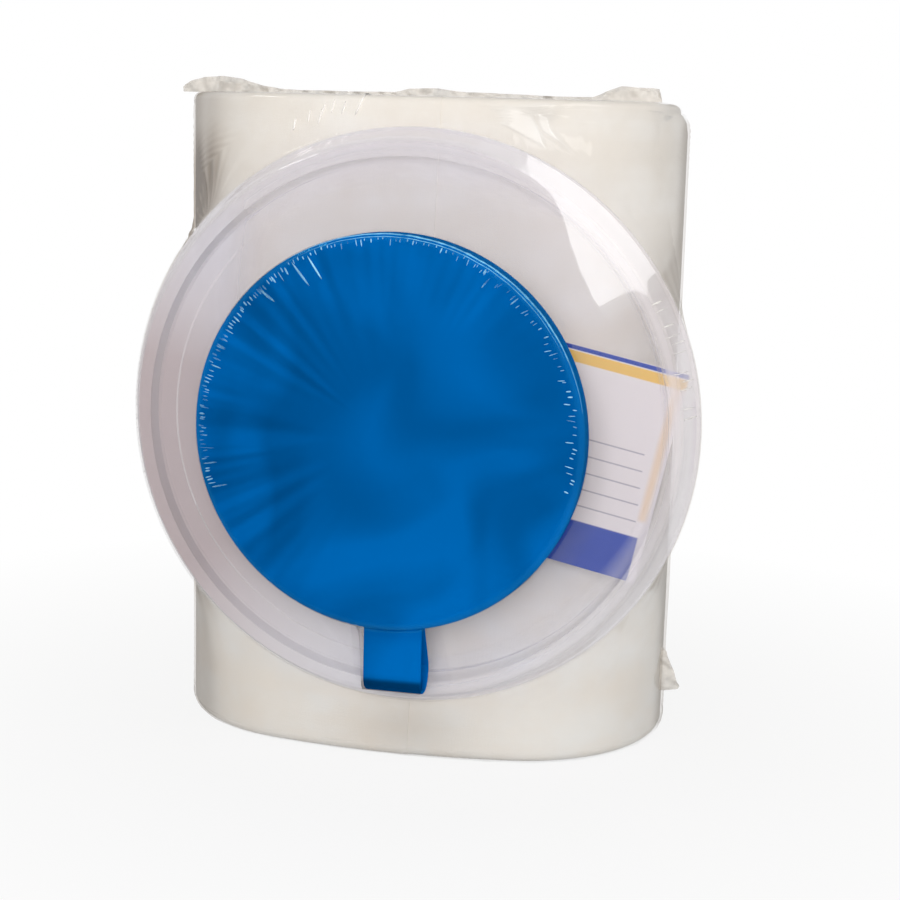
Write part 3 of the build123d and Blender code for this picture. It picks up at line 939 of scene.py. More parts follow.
def roll_softness(z, turn):
    """How far the pressed web lies under its nominal wall: slow hollows and long soft ridges."""
    level = (z - roll_foot) / (roll_top - roll_foot)
    slow = ripple(turn + 0.6 * level, *round_waves)
    slow = slow + 0.6 * ripple(2.2 * level + 0.4 * turn, *rising_waves)
    bands = ripple(level * math.pi, *band_waves) * ripple(turn, *band_fade_waves)
    return mean_softness + slow_softness * slow + band_softness * bands


def make_roll():
    """The closed mesh of the wound roll."""
    profile = roll_profile()
    around = np.linspace(0, 1, roll_columns + 1)
    places = []
    for inset, height in profile:
        level = (height - roll_foot) / (roll_top - roll_foot)
        tail = tail_at_foot + (tail_at_top - tail_at_foot) * level
        start = broad_arc / 2 + tail
        turn = turn_at(start + around * oval_length * seam_gap)
        near_wall = smooth_step(20 * mm, 2 * mm, inset)
        under = web_gauge * (1 - around) + roll_softness(height, turn)
        grow = -inset - near_wall * under
        x, y = oval_place(turn, np.maximum(grow, -slot_inset))
        places += [(a, b, height) for a, b in zip(x, y)]
    faces = grid_quads(len(profile), roll_columns + 1, close_columns=True, close_rows=True)
    piece = new_piece("wound_roll", ease_corners(places), faces, roll_cloth, weld=1e-7)
    piece.data.set_sharp_from_angle(angle=math.radians(50))
    return piece


wound_roll = make_roll()
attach(wound_roll, "set")
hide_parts("wipes_roll", "outer_turn")

# %% [markdown]
# ## Edges of the wound web
#
# On the roll's two ends the web shows edge on, one turn inside the next. That repeats and follows
# a path, so Geometry Nodes make it: one oval curve is duplicated, each copy is moved inwards along
# its own normal and given a small random height, and a thin profile is swept along all of them.

# %% Geometry Nodes tree for the web's edges
rib_height = 1.4 * mm


def new_geometry_tree(name, inputs):
    """A Geometry Nodes tree with a geometry input and output and named number inputs."""
    tree = bpy.data.node_groups.new(name, "GeometryNodeTree")
    tree.interface.new_socket("Geometry", in_out="INPUT", socket_type="NodeSocketGeometry")
    for label, kind, value in inputs:
        socket = tree.interface.new_socket(label, in_out="INPUT", socket_type=kind)
        if value is not None:
            socket.default_value = value
    tree.interface.new_socket("Geometry", in_out="OUTPUT", socket_type="NodeSocketGeometry")
    return tree, tree.nodes.new("NodeGroupInput"), tree.nodes.new("NodeGroupOutput")


def plain_mesh_of(carrier, tree, values, name):
    """Runs a tree on a carrier object and keeps its result as a plain mesh piece."""
    modifier = carrier.modifiers.new("maker", "NODES")
    modifier.node_group = tree
    for item in tree.interface.items_tree:
        if item.in_out == "INPUT" and item.name in values:
            modifier[item.identifier] = values[item.name]
    carrier.update_tag()
    graph = bpy.context.evaluated_depsgraph_get()
    mesh = bpy.data.meshes.new_from_object(carrier.evaluated_get(graph))
    carrier.modifiers.remove(modifier)
    bpy.data.objects.remove(carrier)
    mesh.name = name
    piece = bpy.data.objects.new(name, mesh)
    bpy.context.scene.collection.objects.link(piece)
    print(name, len(mesh.polygons), "faces")
    return piece


def make_turns_tree():
    """Copies of one closed curve, each a pitch further inwards, as thin standing ribs."""
    tree, given, result = new_geometry_tree(
        "wound_turns",
        [
            ("Turns", "NodeSocketInt", 30),
            ("Pitch", "NodeSocketFloat", 1.7 * mm),
            ("Web width", "NodeSocketFloat", 0.5 * mm),
            ("Unevenness", "NodeSocketFloat", 0.5 * mm),
            ("Seed", "NodeSocketInt", 5),
            ("Finish", "NodeSocketMaterial", None),
        ],
    )
    copies = add_node(
        tree,
        "GeometryNodeDuplicateElements",
        {"Geometry": given.outputs["Geometry"], "Amount": given.outputs["Turns"]},
        domain="SPLINE",
    )
    kept_number = add_node(
        tree,
        "GeometryNodeCaptureAttribute",
        {"Geometry": copies.outputs["Geometry"]},
        domain="CURVE",
    )
    kept_number.capture_items.new("INT", "Turn number")
    tree.links.new(copies.outputs["Duplicate Index"], kept_number.inputs["Turn number"])
    number = kept_number.outputs["Turn number"]
    inward = calc(tree, "MULTIPLY", number, given.outputs["Pitch"])
    along = tree.nodes.new("GeometryNodeInputTangent")
    towards_middle = add_node(
        tree, "ShaderNodeVectorMath", {0: (0, 0, 1), 1: along.outputs[0]}, operation="CROSS_PRODUCT"
    )
    move_in = add_node(
        tree,
        "ShaderNodeVectorMath",
        {0: towards_middle.outputs[0], "Scale": inward},
        operation="SCALE",
    )
    uneven = add_node(
        tree,
        "FunctionNodeRandomValue",
        {"ID": number, "Seed": given.outputs["Seed"]},
        data_type="FLOAT",
    )
    lift = calc(tree, "MULTIPLY", uneven.outputs["Value"], given.outputs["Unevenness"])
    rise = add_node(tree, "ShaderNodeCombineXYZ", {2: lift})
    shift = add_node(
        tree, "ShaderNodeVectorMath", {0: move_in.outputs[0], 1: rise.outputs[0]}, operation="ADD"
    )
    placed = add_node(
        tree,
        "GeometryNodeSetPosition",
        {"Geometry": kept_number.outputs["Geometry"], "Offset": shift.outputs[0]},
    )
    section = add_node(
        tree,
        "GeometryNodeCurvePrimitiveQuadrilateral",
        {"Width": given.outputs["Web width"], "Height": rib_height},
    )
    swept = add_node(
        tree,
        "GeometryNodeCurveToMesh",
        {"Curve": placed.outputs[0], "Profile Curve": section.outputs[0]},
    )
    real = add_node(tree, "GeometryNodeRealizeInstances", {0: swept.outputs[0]})
    finished = add_node(
        tree, "GeometryNodeSetMaterial", {0: real.outputs[0], "Material": given.outputs["Finish"]}
    )
    tree.links.new(finished.outputs[0], result.inputs[0])
    return tree


turns_tree = make_turns_tree()

# %% The web's edges on both ends
outline_points = 150
turn_pitch = 1.9 * mm
first_inset = 4.0 * mm
turn_total = 29
end_heights = {
    "top": roll_top - end_sink - 0.3 * mm,
    "foot": roll_foot + end_sink - 0.2 * mm,
}


def outline_carrier(height):
    """A closed poly curve of the oval at one height, counter-clockwise from above."""
    lengths = np.linspace(0, oval_length, outline_points, endpoint=False)
    turn = turn_at(lengths)
    x, y = oval_place(turn, -first_inset)
    data = bpy.data.curves.new("outline", "CURVE")
    data.dimensions = "3D"
    spline = data.splines.new("POLY")
    spline.points.add(outline_points - 1)
    for point, a, b in zip(spline.points, x, y):
        point.co = (a, b, height, 1)
    spline.use_cyclic_u = True
    carrier = bpy.data.objects.new("outline", data)
    bpy.context.scene.collection.objects.link(carrier)
    return carrier


for end_name, height in end_heights.items():
    turn_values = {"Turns": turn_total, "Pitch": turn_pitch, "Finish": roll_cloth, "Seed": 5}
    carrier = outline_carrier(height)
    edge_piece = plain_mesh_of(carrier, turns_tree, turn_values, "web_edges_" + end_name)
    edge_places = vertex_vectors(edge_piece.data, "co")
    edge_piece.data.vertices.foreach_set("co", ease_corners(edge_places).ravel())
    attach(edge_piece, "set")
    print(edge_piece.name, [round(c / mm, 1) for c in edge_piece.dimensions])


# %% [markdown]
# ## The strap's loop
#
# The cap hangs on a flat strap that folds back behind itself. The front leaf moves with the cap
# and the rear leaf stays with the lid, so the fold between them has to bend. Front leaf and fold
# are one ribbon here.

# %% Strap ribbon
leaf_overlap = 3 * mm
leaf_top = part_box("strap_front")[1].z + leaf_overlap
fold_steps = 20
leaf_steps = 14
edge_ease = 0.35 * mm


def strap_section():
    """Centre line of the ribbon in the side view, with its normals: fold first, then the leaf."""
    places = []
    for angle in np.linspace(0, -math.pi, fold_steps + 1):
        way = Vector((0, math.cos(angle), math.sin(angle)))
        places.append((Vector((0, hinge_y, hinge_z)) + way * fold_radius, way))
    for height in np.linspace(hinge_z, leaf_top, leaf_steps)[1:]:
        places.append((Vector((0, hinge_y - fold_radius, height)), Vector((0, -1, 0))))
    return places


def make_strap():
    """The ribbon: eased edges across, swept along the fold and up the front leaf."""
    half = strap_gauge / 2
    across = [
        (-strap_half_width + edge_ease, half),
        (strap_half_width - edge_ease, half),
        (strap_half_width, half - edge_ease),
        (strap_half_width, -half + edge_ease),
        (strap_half_width - edge_ease, -half),
        (-strap_half_width + edge_ease, -half),
        (-strap_half_width, -half + edge_ease),
        (-strap_half_width, half - edge_ease),
    ]
    places = []
    section = strap_section()
    for middle, way in section:
        for side, out in across:
            places.append(middle + Vector((strap_x + side, 0, 0)) + way * out)
    faces = grid_quads(len(section), len(across), close_columns=True)
    last = (len(section) - 1) * len(across)
    faces.append(tuple(range(len(across))))
    faces.append(tuple(range(last, last + len(across))))
    piece = new_piece("strap_loop", places, faces, cap_blue)
    piece.data.set_sharp_from_angle(angle=math.radians(40))
    return piece


strap_loop = make_strap()
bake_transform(strap_loop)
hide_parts("strap_front", "strap_fold")

# %% [markdown]
# ## The shrink film
#
# The film is a bag of one sheet. On the real set it is pulled over the lid, so it is flat on the
# cap, runs straight from the cap's edge to the lid's rim, turns over the rim and meets the roll
# where a straight line from the rim just touches it. The mesh follows that: polar columns about
# the lid's axis run out to the leaving line, and rows at the same heights run on round the back.

# %% Where the film leaves the roll
film_skin = 0.35 * mm
film_margin = 3.0 * mm
centre_fade = 20.0
rim_stack = 15.5 * mm
rim_inner = 98.5 * mm
rim_outer = 103.6 * mm
skirt_stack = 2.6 * mm
fold_stack = 1.6 * mm
film_radius = lid_radius + 0.45 * mm
rim_turn = (99.3 * mm, 100.4 * mm, 101.8 * mm, 103.0 * mm)
rim_side = (
    (rim_outer, rim_stack),
    (rim_outer + 1.2 * mm, rim_stack - 1.0 * mm),
    (105.8 * mm, 11.0 * mm),
    (107.6 * mm, 7.0 * mm),
    (109.0 * mm, skirt_stack + 1.6 * mm),
    (109.3 * mm, skirt_stack + 1.1 * mm),
    (film_radius, skirt_stack + 0.8 * mm),
)
sleeve_top = roll_top - top_round
sleeve_foot = roll_foot + low_round


def leaving_turn(across, forward, share):
    """Turn of the oval where a straight film from a point in front first lies on it."""
    broad_reach = math.hypot(across, forward + broad_centre)
    broad_turn = math.atan2(-forward - broad_centre, across)
    broad_turn += share * math.acos((broad_radius + film_skin) / broad_reach)
    if broad_turn < -tangent_turn:
        return broad_turn
    side_reach = math.hypot(across - side_centre, forward)
    side_turn = math.atan2(-forward, across - side_centre)
    side_turn += math.acos((side_radius + film_skin) / side_reach)
    return max(min(side_turn, 0) - film_margin / side_radius, -tangent_turn)


def leaving_place(hand, angle):
    """(turn of the oval, height) where the film from that angle of the rim meets the roll."""
    across = hand * (lid_x + hand * film_radius * math.cos(angle) - roll_x)
    forward = roll_y - (roll_front - fold_stack)
    share = min(1, (90 - abs(math.degrees(angle))) / centre_fade)
    turn = leaving_turn(across, forward, share)
    end_height = sleeve_top if angle > 0 else sleeve_foot
    height = lid_z + abs(end_height - lid_z) * math.sin(angle)
    return (turn if hand > 0 else math.pi - turn), height


# %% Polar part of the film, over rim and lid
column_runs = ((-90, 30, 166), (30, 76, 132), (76, 90, 20))
cone_rows = 42
span_rows = 34
mouth_radius = cap_radius + 1.2 * mm
mouth_stack = cap_rear_stack - 1.0 * mm
notch_half = strap_half_width + 3.5 * mm
wedge_clocks = (14, 21, 28.6, 35.7, 42.5, 48.4, 53.2, 57.9, 62.0, 68.0)
wedge_inner = (94.0, 90.5, 88.5, 87.8, 89.8, 93.5, 98.0, 101.6, 103.0, 103.6)
wedge_slope = 0.78
wedge_stack = 15.6 * mm
wedge_start = 104.2 * mm
turn_width = 3.0 * mm


def mouth_edge(clock):
    """Radius of the film's inner edge round the cap: a circle with a deep notch for the strap."""
    across = mouth_radius * np.cos(clock) - (strap_x - lid_x)
    below = np.sin(clock) < 0
    open_share = smooth_step(notch_half + 3 * mm, notch_half - 1 * mm, np.abs(across)) * below
    return mouth_radius + (rim_inner + 1.5 * mm - mouth_radius) * open_share


def wedge_share(clock):
    """1 in the upper right sector, where the film drops to the rim in one steep facet."""
    turn = np.degrees(clock)
    return smooth_step(22, 34, turn) * smooth_step(78, 70, turn)


def film_stack(radius, clock, plain):
    """Stack height of the film: a plain one, with the steep facet and its crease blended in."""
    crease_radius = np.interp(np.degrees(clock), wedge_clocks, wedge_inner) * mm
    steep = wedge_stack + wedge_slope * (wedge_start - radius)
    at_crease = wedge_stack + wedge_slope * (wedge_start - crease_radius)
    share = np.clip((crease_radius - radius) / (crease_radius - mouth_radius), 0, 1)
    calm = at_crease + (mouth_stack - at_crease) * share
    wedge = np.where(radius > crease_radius, steep, calm)
    return plain + wedge_share(clock) * (np.maximum(wedge, plain) - plain)


def cone_stack(radius):
    """Stack height of the plain film: straight from cap to rim, with a rounded turn at the rim."""
    slope = (mouth_stack - rim_stack) / (rim_inner - mouth_radius)
    rise = rim_inner - radius
    return rim_stack + slope * (rise + np.sqrt(rise**2 + turn_width**2)) / 2


# %% The film's front grid


def film_front(clocks):
    """Grid of the film from its inner edge, over cone and rim, to where it meets the roll."""
    rows = []
    inner = mouth_edge(clocks)
    for share in np.linspace(0, 1, cone_rows):
        radius = inner + (np.maximum(rim_inner, inner) - inner) * share
        rows.append((radius, film_stack(radius, clocks, cone_stack(radius))))
    rim = [(radius, cone_stack(radius)) for radius in rim_turn]
    for radius, stack in rim + list(rim_side):
        full = np.maximum(radius, inner)
        rows.append((full, film_stack(full, clocks, np.full_like(clocks, stack))))
    rows.append((np.full_like(clocks, film_radius), np.full_like(clocks, fold_stack)))
    places = [turned_places(radius, stack, clocks) for radius, stack in rows]
    ends = []
    for clock in clocks:
        hand = 1 if math.cos(clock) >= 0 else -1
        turn, height = leaving_place(hand, math.asin(math.sin(clock)))
        x, y = oval_place(turn, film_skin)
        ends.append((float(x), float(y), height))
    ends = np.array(ends)
    for share in np.linspace(0, 1, span_rows + 1)[1:]:
        places.append(places[len(rows) - 1] * (1 - share) + ends * share)
    return np.array(places)


# %% Sleeve, top and foot of the film
back_columns = 84
seam_setback = 22 * mm
seam_half = 88 * mm
bend_rows = 6
seam_rows = 22


def back_turns(angle):
    """The oval's turns round the back, from the right leaving line to the left one."""
    ends = [leaving_place(hand, angle)[0] for hand in (1, -1)]
    lengths = np.interp(ends, arc_turns, arc_lengths)
    return np.interp(np.linspace(*lengths, back_columns + 1), arc_lengths, arc_turns)


def film_sleeve(angles):
    """Grid round the back, a row for each height."""
    rows = []
    for angle in angles:
        _, height = leaving_place(1, angle)
        x, y = oval_place(back_turns(angle), film_skin)
        rows.append(np.stack([x, y, np.full_like(x, height)], 1))
    return np.array(rows)


def film_end(loop_turns, edge_height, round_size, up, seam_y):
    """Grid over one end of the roll, from the sleeve's edge row to the flat seal seam."""
    rows = []
    for angle in np.linspace(0, math.pi / 2, bend_rows):
        grow = film_skin - round_size * (1 - math.cos(angle))
        x, y = oval_place(loop_turns, grow)
        height = edge_height + up * (round_size + film_skin * 0.6) * math.sin(angle)
        rows.append(np.stack([x, y, np.full_like(x, height)], 1))
    flat = rows[-1]
    seam = flat.copy()
    seam[:, 0] = np.clip(flat[:, 0], roll_x - seam_half, roll_x + seam_half)
    seam[:, 1] = seam_y
    for share in np.linspace(0, 1, seam_rows)[1:]:
        rows.append(flat * (1 - share) + seam * share)
    return np.array(rows)


# %% [markdown]
# ## Lobes, folds and creases of the film
#
# Beside the lid at the upper right, the film is pulled into three taut lobes: flat facets that
# lean up and to the right, each with a pointed foot. At the left it gathers into folds that run
# from the rim to the roll's edge. Everywhere else it has fine creases. Lobes are drawn forward as
# planes, because a flat facet mirrors one lamp over its whole face. Folds and creases are small
# heights along the normal, made of uneven waves, and the deepest ones also get a warm painted
# shade.

# %% Lobes of the film
# places in millimetres from the lid's axis and the roll's foot, and slopes
lobe_edges = (29.0, 42.0, 52.0, 72.0)
lobe_feet = (((32, 243.5), (47, 236.5)), ((43, 243.5), (57, 235.5)), ((53, 243.5), (65, 237.5)))
lobe_lean = 0.45
lobe_level = 250.0
lobe_middle = 246.0
lobe_rise = 0.30
lobe_side = 0.30
lobe_lift = 1.4
lobe_top = 252.0
lobe_end = 251.6
lobe_wall = 3.0
far_back = -200.0
front_allowance = 1.5 * mm

loop_x, loop_y = oval_place(arc_turns, film_skin)
front_half = loop_y < roll_y
front_order = np.argsort(loop_x[front_half])
front_x, front_y = loop_x[front_half][front_order], loop_y[front_half][front_order]


def roll_stack(x):
    """Stack height of the roll's front, which curves back towards its sides."""
    return roll_front - np.interp(x, front_x, front_y)


def lobe_stack(x, z):
    """Stack height of the film's three lobes beside the lid: flat facets that lean up and right."""
    across, up = (x - lid_x) / mm, (z - roll_foot) / mm
    stack = np.full_like(across, far_back)
    slant = lobe_lean * (lobe_level - up)
    for number, ((foot_left, high), (foot_right, low)) in enumerate(lobe_feet):
        first, last = lobe_edges[number : number + 2]
        anchor = (first + last) / 2 + lobe_lean * (lobe_level - lobe_middle)
        base = float(roll_stack(lid_x + anchor * mm)) / mm + lobe_lift
        facet = base + lobe_rise * (lobe_top - up) - lobe_side * (across - anchor)
        foot = np.interp(across, [foot_left, foot_right], [high, low])
        inside_sides = np.minimum(across - first - slant, last + slant - across)
        inside_ends = np.minimum(up - foot, lobe_end - up)
        wall = base + lobe_wall * np.minimum(inside_ends, inside_sides)
        stack = np.maximum(stack, np.minimum(facet, wall))
    return stack * mm


def draw_lobes(places):
    """The same places, with the film drawn forward on to the lobes."""
    drawn = places.copy()
    stack = roll_front - places[:, 1]
    in_front = stack > roll_stack(places[:, 0]) - front_allowance
    ahead = np.maximum(stack, lobe_stack(places[:, 0], places[:, 2]))
    drawn[:, 1] = np.where(in_front, roll_front - ahead, places[:, 1])
    return drawn


# %% Folds and creases of the film
fold_focus = (-79.0, 207.0)
fold_curl = 0.012
long_fold_way = math.radians(86)
long_fold_width = 0.045
long_fold_weight = 0.55
fold_waves = (4, 11, 27)
left_depths = (-60 * mm, -20 * mm)
cone_crease = 0.06 * mm
cone_waves = (5, 22, 21)
rim_crease = 0.15 * mm
rim_crease_radius = 106.5 * mm
rim_crease_width = 1.8 * mm
rim_waves = (50, 110, 22)
fan_crease = 0.10 * mm
fan_waves = (26, 70, 23)
left_crease = 0.25 * mm
end_crease = 0.16 * mm
end_waves = (40, 120, 24)
end_reach = (40 * mm, 4 * mm)
slack_crease = 0.14 * mm
slack_waves = (6, 20, 25)
slack_rise_waves = (2, 9, 26)


def bell(value, middle, width):
    """1 at the middle, falling off evenly on both sides over about the width."""
    return np.exp(-(((value - middle) / width) ** 2))


# %% The fields of folds and creases


def left_folds(x, z):
    """Folds that run from the rim's upper left to the roll's edge and its corner ear: -1 to 1."""
    across, up = (x - lid_x) / mm - fold_focus[0], z / mm - fold_focus[1]
    reach = np.hypot(across, up)
    fan = np.arctan2(up, across) + fold_curl * reach
    degrees = np.degrees(fan)
    near_edge = smooth_step(98, 112, degrees) * smooth_step(40, 16, reach)
    below = smooth_step(-100, -130, degrees) * smooth_step(40, 10, reach)
    folds = ripple(3.0 * fan, *fold_waves) * (near_edge + below) * smooth_step(2, 7, reach)
    long_fold = bell(fan, long_fold_way, long_fold_width) * smooth_step(6, 16, reach)
    return folds + long_fold_weight * long_fold * smooth_step(48, 36, reach)


def crease_field(place):
    """Outward height of the film's creases at each place, in metres."""
    x, y, z = place[:, 0], place[:, 1], place[:, 2]
    across, up = x - lid_x, z - lid_z
    radius, clock = np.hypot(across, up), np.arctan2(up, across)
    stack = roll_front - y
    front = smooth_step(-30 * mm, -5 * mm, stack)
    height = np.zeros_like(x)
    # soft pull lines on the cone between cap and rim
    cone = smooth_step(rim_inner - 1 * mm, rim_inner - 8 * mm, radius) * front
    height += cone * cone_crease * np.maximum(0, ripple(clock, *cone_waves))
    # short puckers where the film turns over the rim
    band = bell(radius, rim_crease_radius, rim_crease_width) * front
    puckers = np.maximum(0, ripple(clock, *rim_waves) - 0.35)
    height += band * rim_crease * puckers * (1 - wedge_share(clock))
    # creases that fan out on the roll beyond the lid's rim
    beyond = smooth_step(lid_radius + 2 * mm, lid_radius + 14 * mm, radius)
    fan = np.maximum(0, ripple(clock, *fan_waves) - 0.15)
    height += beyond * front * fan_crease * fan
    # the pulled folds at the left
    left = smooth_step(*left_depths, stack) * (across < 0)
    height += left * left_crease * left_folds(x, z)
    # upright creases gathered at the sleeve's ends
    turn = np.arctan2(y - roll_y, x - roll_x)
    near_end = smooth_step(*end_reach, np.minimum(roll_top - z, z - roll_foot))
    height += near_end * end_crease * np.maximum(0, ripple(turn, *end_waves) - 0.1)
    # slow slack on sides and back
    level = (z - roll_foot) / (roll_top - roll_foot)
    slack = ripple(turn + 0.5 * level, *slack_waves)
    slack = slack * ripple(level * math.pi + 0.3 * turn, *slack_rise_waves)
    off_lid = smooth_step(lid_radius, lid_radius + 5 * mm, radius)
    off_lid = np.maximum(off_lid, smooth_step(0, -10 * mm, stack))
    height += off_lid * slack_crease * np.maximum(0, slack)
    return height


# %% Where the film is taut and where shade is painted on it
crease_ease = 0.6 * mm
lobe_ease = 0.15 * mm
film_slack = 0.5 * mm
# weights of the painted shade: along the folds, on the left edge, at its corners, on the right edge
fold_weight = 0.26
side_weight = 0.36
corner_weight = 0.80
right_weight = 0.30
streak_waves = (12, 44, 28)
above_lid_from, above_lid_to = (246 * mm, 218 * mm), (150 * mm, 195 * mm)
below_lid_from, below_lid_to = (46 * mm, 60 * mm), (120 * mm, 90 * mm)
edge_depths = (-56 * mm, -36 * mm)
# painted shadows: weight, middle and half width across, middle and half height
painted_shadow_by_rim = (0.30, 96 * mm, 6 * mm, 202 * mm, 13 * mm)
painted_shadow_below_strap = (0.16, 2 * mm, 26 * mm, 12 * mm, 12 * mm)


def taut_share(place):
    """1 where the film is drawn into a flat steep facet: the wedge by the rim and the lobes."""
    x, z = place[:, 0], place[:, 2]
    across, up = x - lid_x, z - lid_z
    radius, clock = np.hypot(across, up), np.arctan2(up, across)
    stack = roll_front - place[:, 1]
    crease_radius = np.interp(np.degrees(clock), wedge_clocks, wedge_inner) * mm
    wedge = smooth_step(crease_radius - crease_ease, crease_radius + crease_ease, radius)
    wedge = wedge * wedge_share(clock) * smooth_step(28, 32, np.degrees(clock))
    wedge = wedge * (stack > skirt_stack - crease_ease) * (radius < film_radius + film_slack)
    on_lobe = np.abs(lobe_stack(x, z) - stack) < lobe_ease
    on_lobe = on_lobe * (stack > roll_stack(x)) * smooth_step(60 * mm, 56 * mm, across)
    return np.maximum(wedge, on_lobe)


def painted_shadow_patch(x, z, weight, middle_x, width, middle_z, height):
    """A painted shadow: a soft dark patch on the film's front."""
    return weight * bell(x, middle_x, width) * bell(z, middle_z, height)


def wrap_painted_shade(place):
    """Painted shade on the wrap: folds, dark edges of the narrow sides, two shadows by the lid."""
    x, y, z = place[:, 0], place[:, 1], place[:, 2]
    stack = roll_front - y
    left = smooth_step(*left_depths, stack) * (x < lid_x)
    # painted shade along the left folds
    folds = -left_folds(x, z) * left
    # upright streaks, so that the painted dark edges aren't even
    turn = np.arctan2(y - roll_y, x - roll_x)
    level = (z - roll_foot) / (roll_top - roll_foot)
    streaks = 0.5 + 0.5 * ripple(turn + 0.15 * level, *streak_waves)
    # painted shade on the left edge, darker above and below the lid
    beside = (roll_x - x) / roll_half_width
    above_lid = smooth_step(*above_lid_from, z) * smooth_step(*above_lid_to, z)
    below_lid = smooth_step(*below_lid_from, z) * smooth_step(*below_lid_to, z)
    edge = 0.92 * smooth_step(0.68, 0.87, beside) + 0.08 * smooth_step(0.45, 0.80, beside)
    edge = edge * smooth_step(*edge_depths, stack)
    aside = (side_weight + corner_weight * (above_lid + 0.5 * below_lid)) * edge
    # painted shade on the right edge, as a thin line
    aside = aside + right_weight * smooth_step(-0.985, -1.0, beside)
    aside = aside * smooth_step(3 * mm, 0, stack) * (0.80 + 0.4 * streaks)
    # painted shadows by the rim and below the strap
    hollows = painted_shadow_patch(x, z, *painted_shadow_by_rim) + painted_shadow_patch(x, z, *painted_shadow_below_strap)
    shade = fold_weight * folds + aside + hollows * (stack > -40 * mm)
    return np.clip(shade, 0, 1)


# %% Putting fields on a mesh


def crease(piece, field):
    """Moves each vertex outwards along its normal by the field's height."""
    mesh = piece.data
    places, normals = vertex_vectors(mesh, "co"), vertex_vectors(mesh, "normal")
    places = draw_lobes(places + normals * field(places)[:, None])
    mesh.vertices.foreach_set("co", ease_corners(places).ravel())
    mesh.update()


def store_field(piece, name, field):
    """Keeps a field's value at each vertex in an attribute of the piece's own."""
    values = field(vertex_vectors(piece.data, "co"))
    layer = piece.data.attributes.new(name, "FLOAT", "POINT")
    layer.data.foreach_set("value", np.asarray(values, np.float32))


# %% The film as one mesh


def film_columns():
    """Column angles from foot to top in degrees, closer together where the lobes need it."""
    runs = [np.linspace(first, last, count + 1)[:-1] for first, last, count in column_runs]
    return np.append(np.concatenate(runs), 90.0)


def make_wrap():
    """The whole bag except its cover on the cap."""
    angles = np.radians(film_columns())
    angles[[0, -1]] = -math.pi / 2, math.pi / 2
    clocks = np.concatenate([angles, (math.pi - angles)[::-1][1:-1]])
    front = film_front(clocks)
    sleeve = film_sleeve(angles)
    top = film_end(back_turns(angles[-1]), sleeve_top, top_round, 1, roll_y - seam_setback)
    foot = film_end(back_turns(angles[0]), sleeve_foot, low_round, -1, roll_y)
    foot[:, :, 2] = np.maximum(foot[:, :, 2], 0.0)
    places, faces = [], []
    for grid, closed in ((front, True), (sleeve, False), (top, False), (foot, False)):
        faces += grid_quads(grid.shape[0], grid.shape[1], first=len(places), close_columns=closed)
        places += [tuple(place) for place in grid.reshape(-1, 3)]
    piece = new_piece("shrink_wrap", places, faces, wrap_film, weld=5e-6)
    crease(piece, crease_field)
    store_field(piece, "painted_shade", wrap_painted_shade)
    store_field(piece, "taut_share", taut_share)
    return piece


shrink_wrap = make_wrap()
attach(shrink_wrap, "set")
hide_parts("film_base", "film_top", "film_sleeve", "film_tent", "film_collar")

# %% [markdown]
# ## The film on the cap
#
# The film's cover on the cap is cut free round its edge, so it opens with the cap. It is flat on
# the face, turns over the rounded edge, and hangs down over the strap like a tongue. Shrinking
# pulls it into radial creases, which are dense and short at the edge and fade towards the middle.
# Shade is painted on it along these creases and at the strap's lower bend, with painted shade at
# the left and painted light at the top; it is also a little lighter towards the foot.

# %% Cap cover
cover_columns = 900
cover_gap = 0.3 * mm
edge_round = 2.5 * mm
tongue_foot = hinge_z - fold_radius + 1.0 * mm
left_clock = math.radians(158)
top_clock = math.radians(100)
short_weight = 0.55
long_waves, long_reach_waves = (14, 44, 31), (5, 16, 34)
short_waves, short_reach_waves = (40, 96, 32), (9, 30, 35)
cover_crease = 0.10 * mm
cover_crease_range = (-0.15 * mm, 0.4 * mm)
# weights of the cover's shade: face, painted zones, foot, folds and the strap's bend
cover_tone = 0.08
painted_light_zones = 0.07
foot_zone_tone = 0.04
painted_fold_shade = 0.065
painted_bend_shade = 0.50
face_shares = np.concatenate([np.linspace(0.0, 0.8, 26), np.linspace(0.82, 1.0, 26)])
turn_rows = 8
skirt_rows = 16


def pulled_folds(radius, clock):
    """Folds pulled towards the edge: long ones on the left, short ones at the top, -1 to 1."""
    left = smooth_step(-0.15, 0.75, np.cos(clock - left_clock))
    top = smooth_step(0.25, 0.85, np.cos(clock - top_clock))
    long_folds = ripple(clock + 0.10 * np.sin(3 * clock), *long_waves)
    short_folds = ripple(clock, *short_waves)
    long_radius = radius + 9 * mm * ripple(clock, *long_reach_waves)
    long_reach = smooth_step(18 * mm, 50 * mm, long_radius)
    short_radius = radius + 6 * mm * ripple(clock, *short_reach_waves)
    short_reach = smooth_step(44 * mm, 60 * mm, short_radius)
    short = short_weight * np.maximum(left, top) * short_folds * short_reach
    return left * long_folds * long_reach + short


def cover_creases(radius, clock):
    """Outward height of the creases in the cap's cover."""
    return np.clip(cover_crease * pulled_folds(radius, clock), *cover_crease_range)


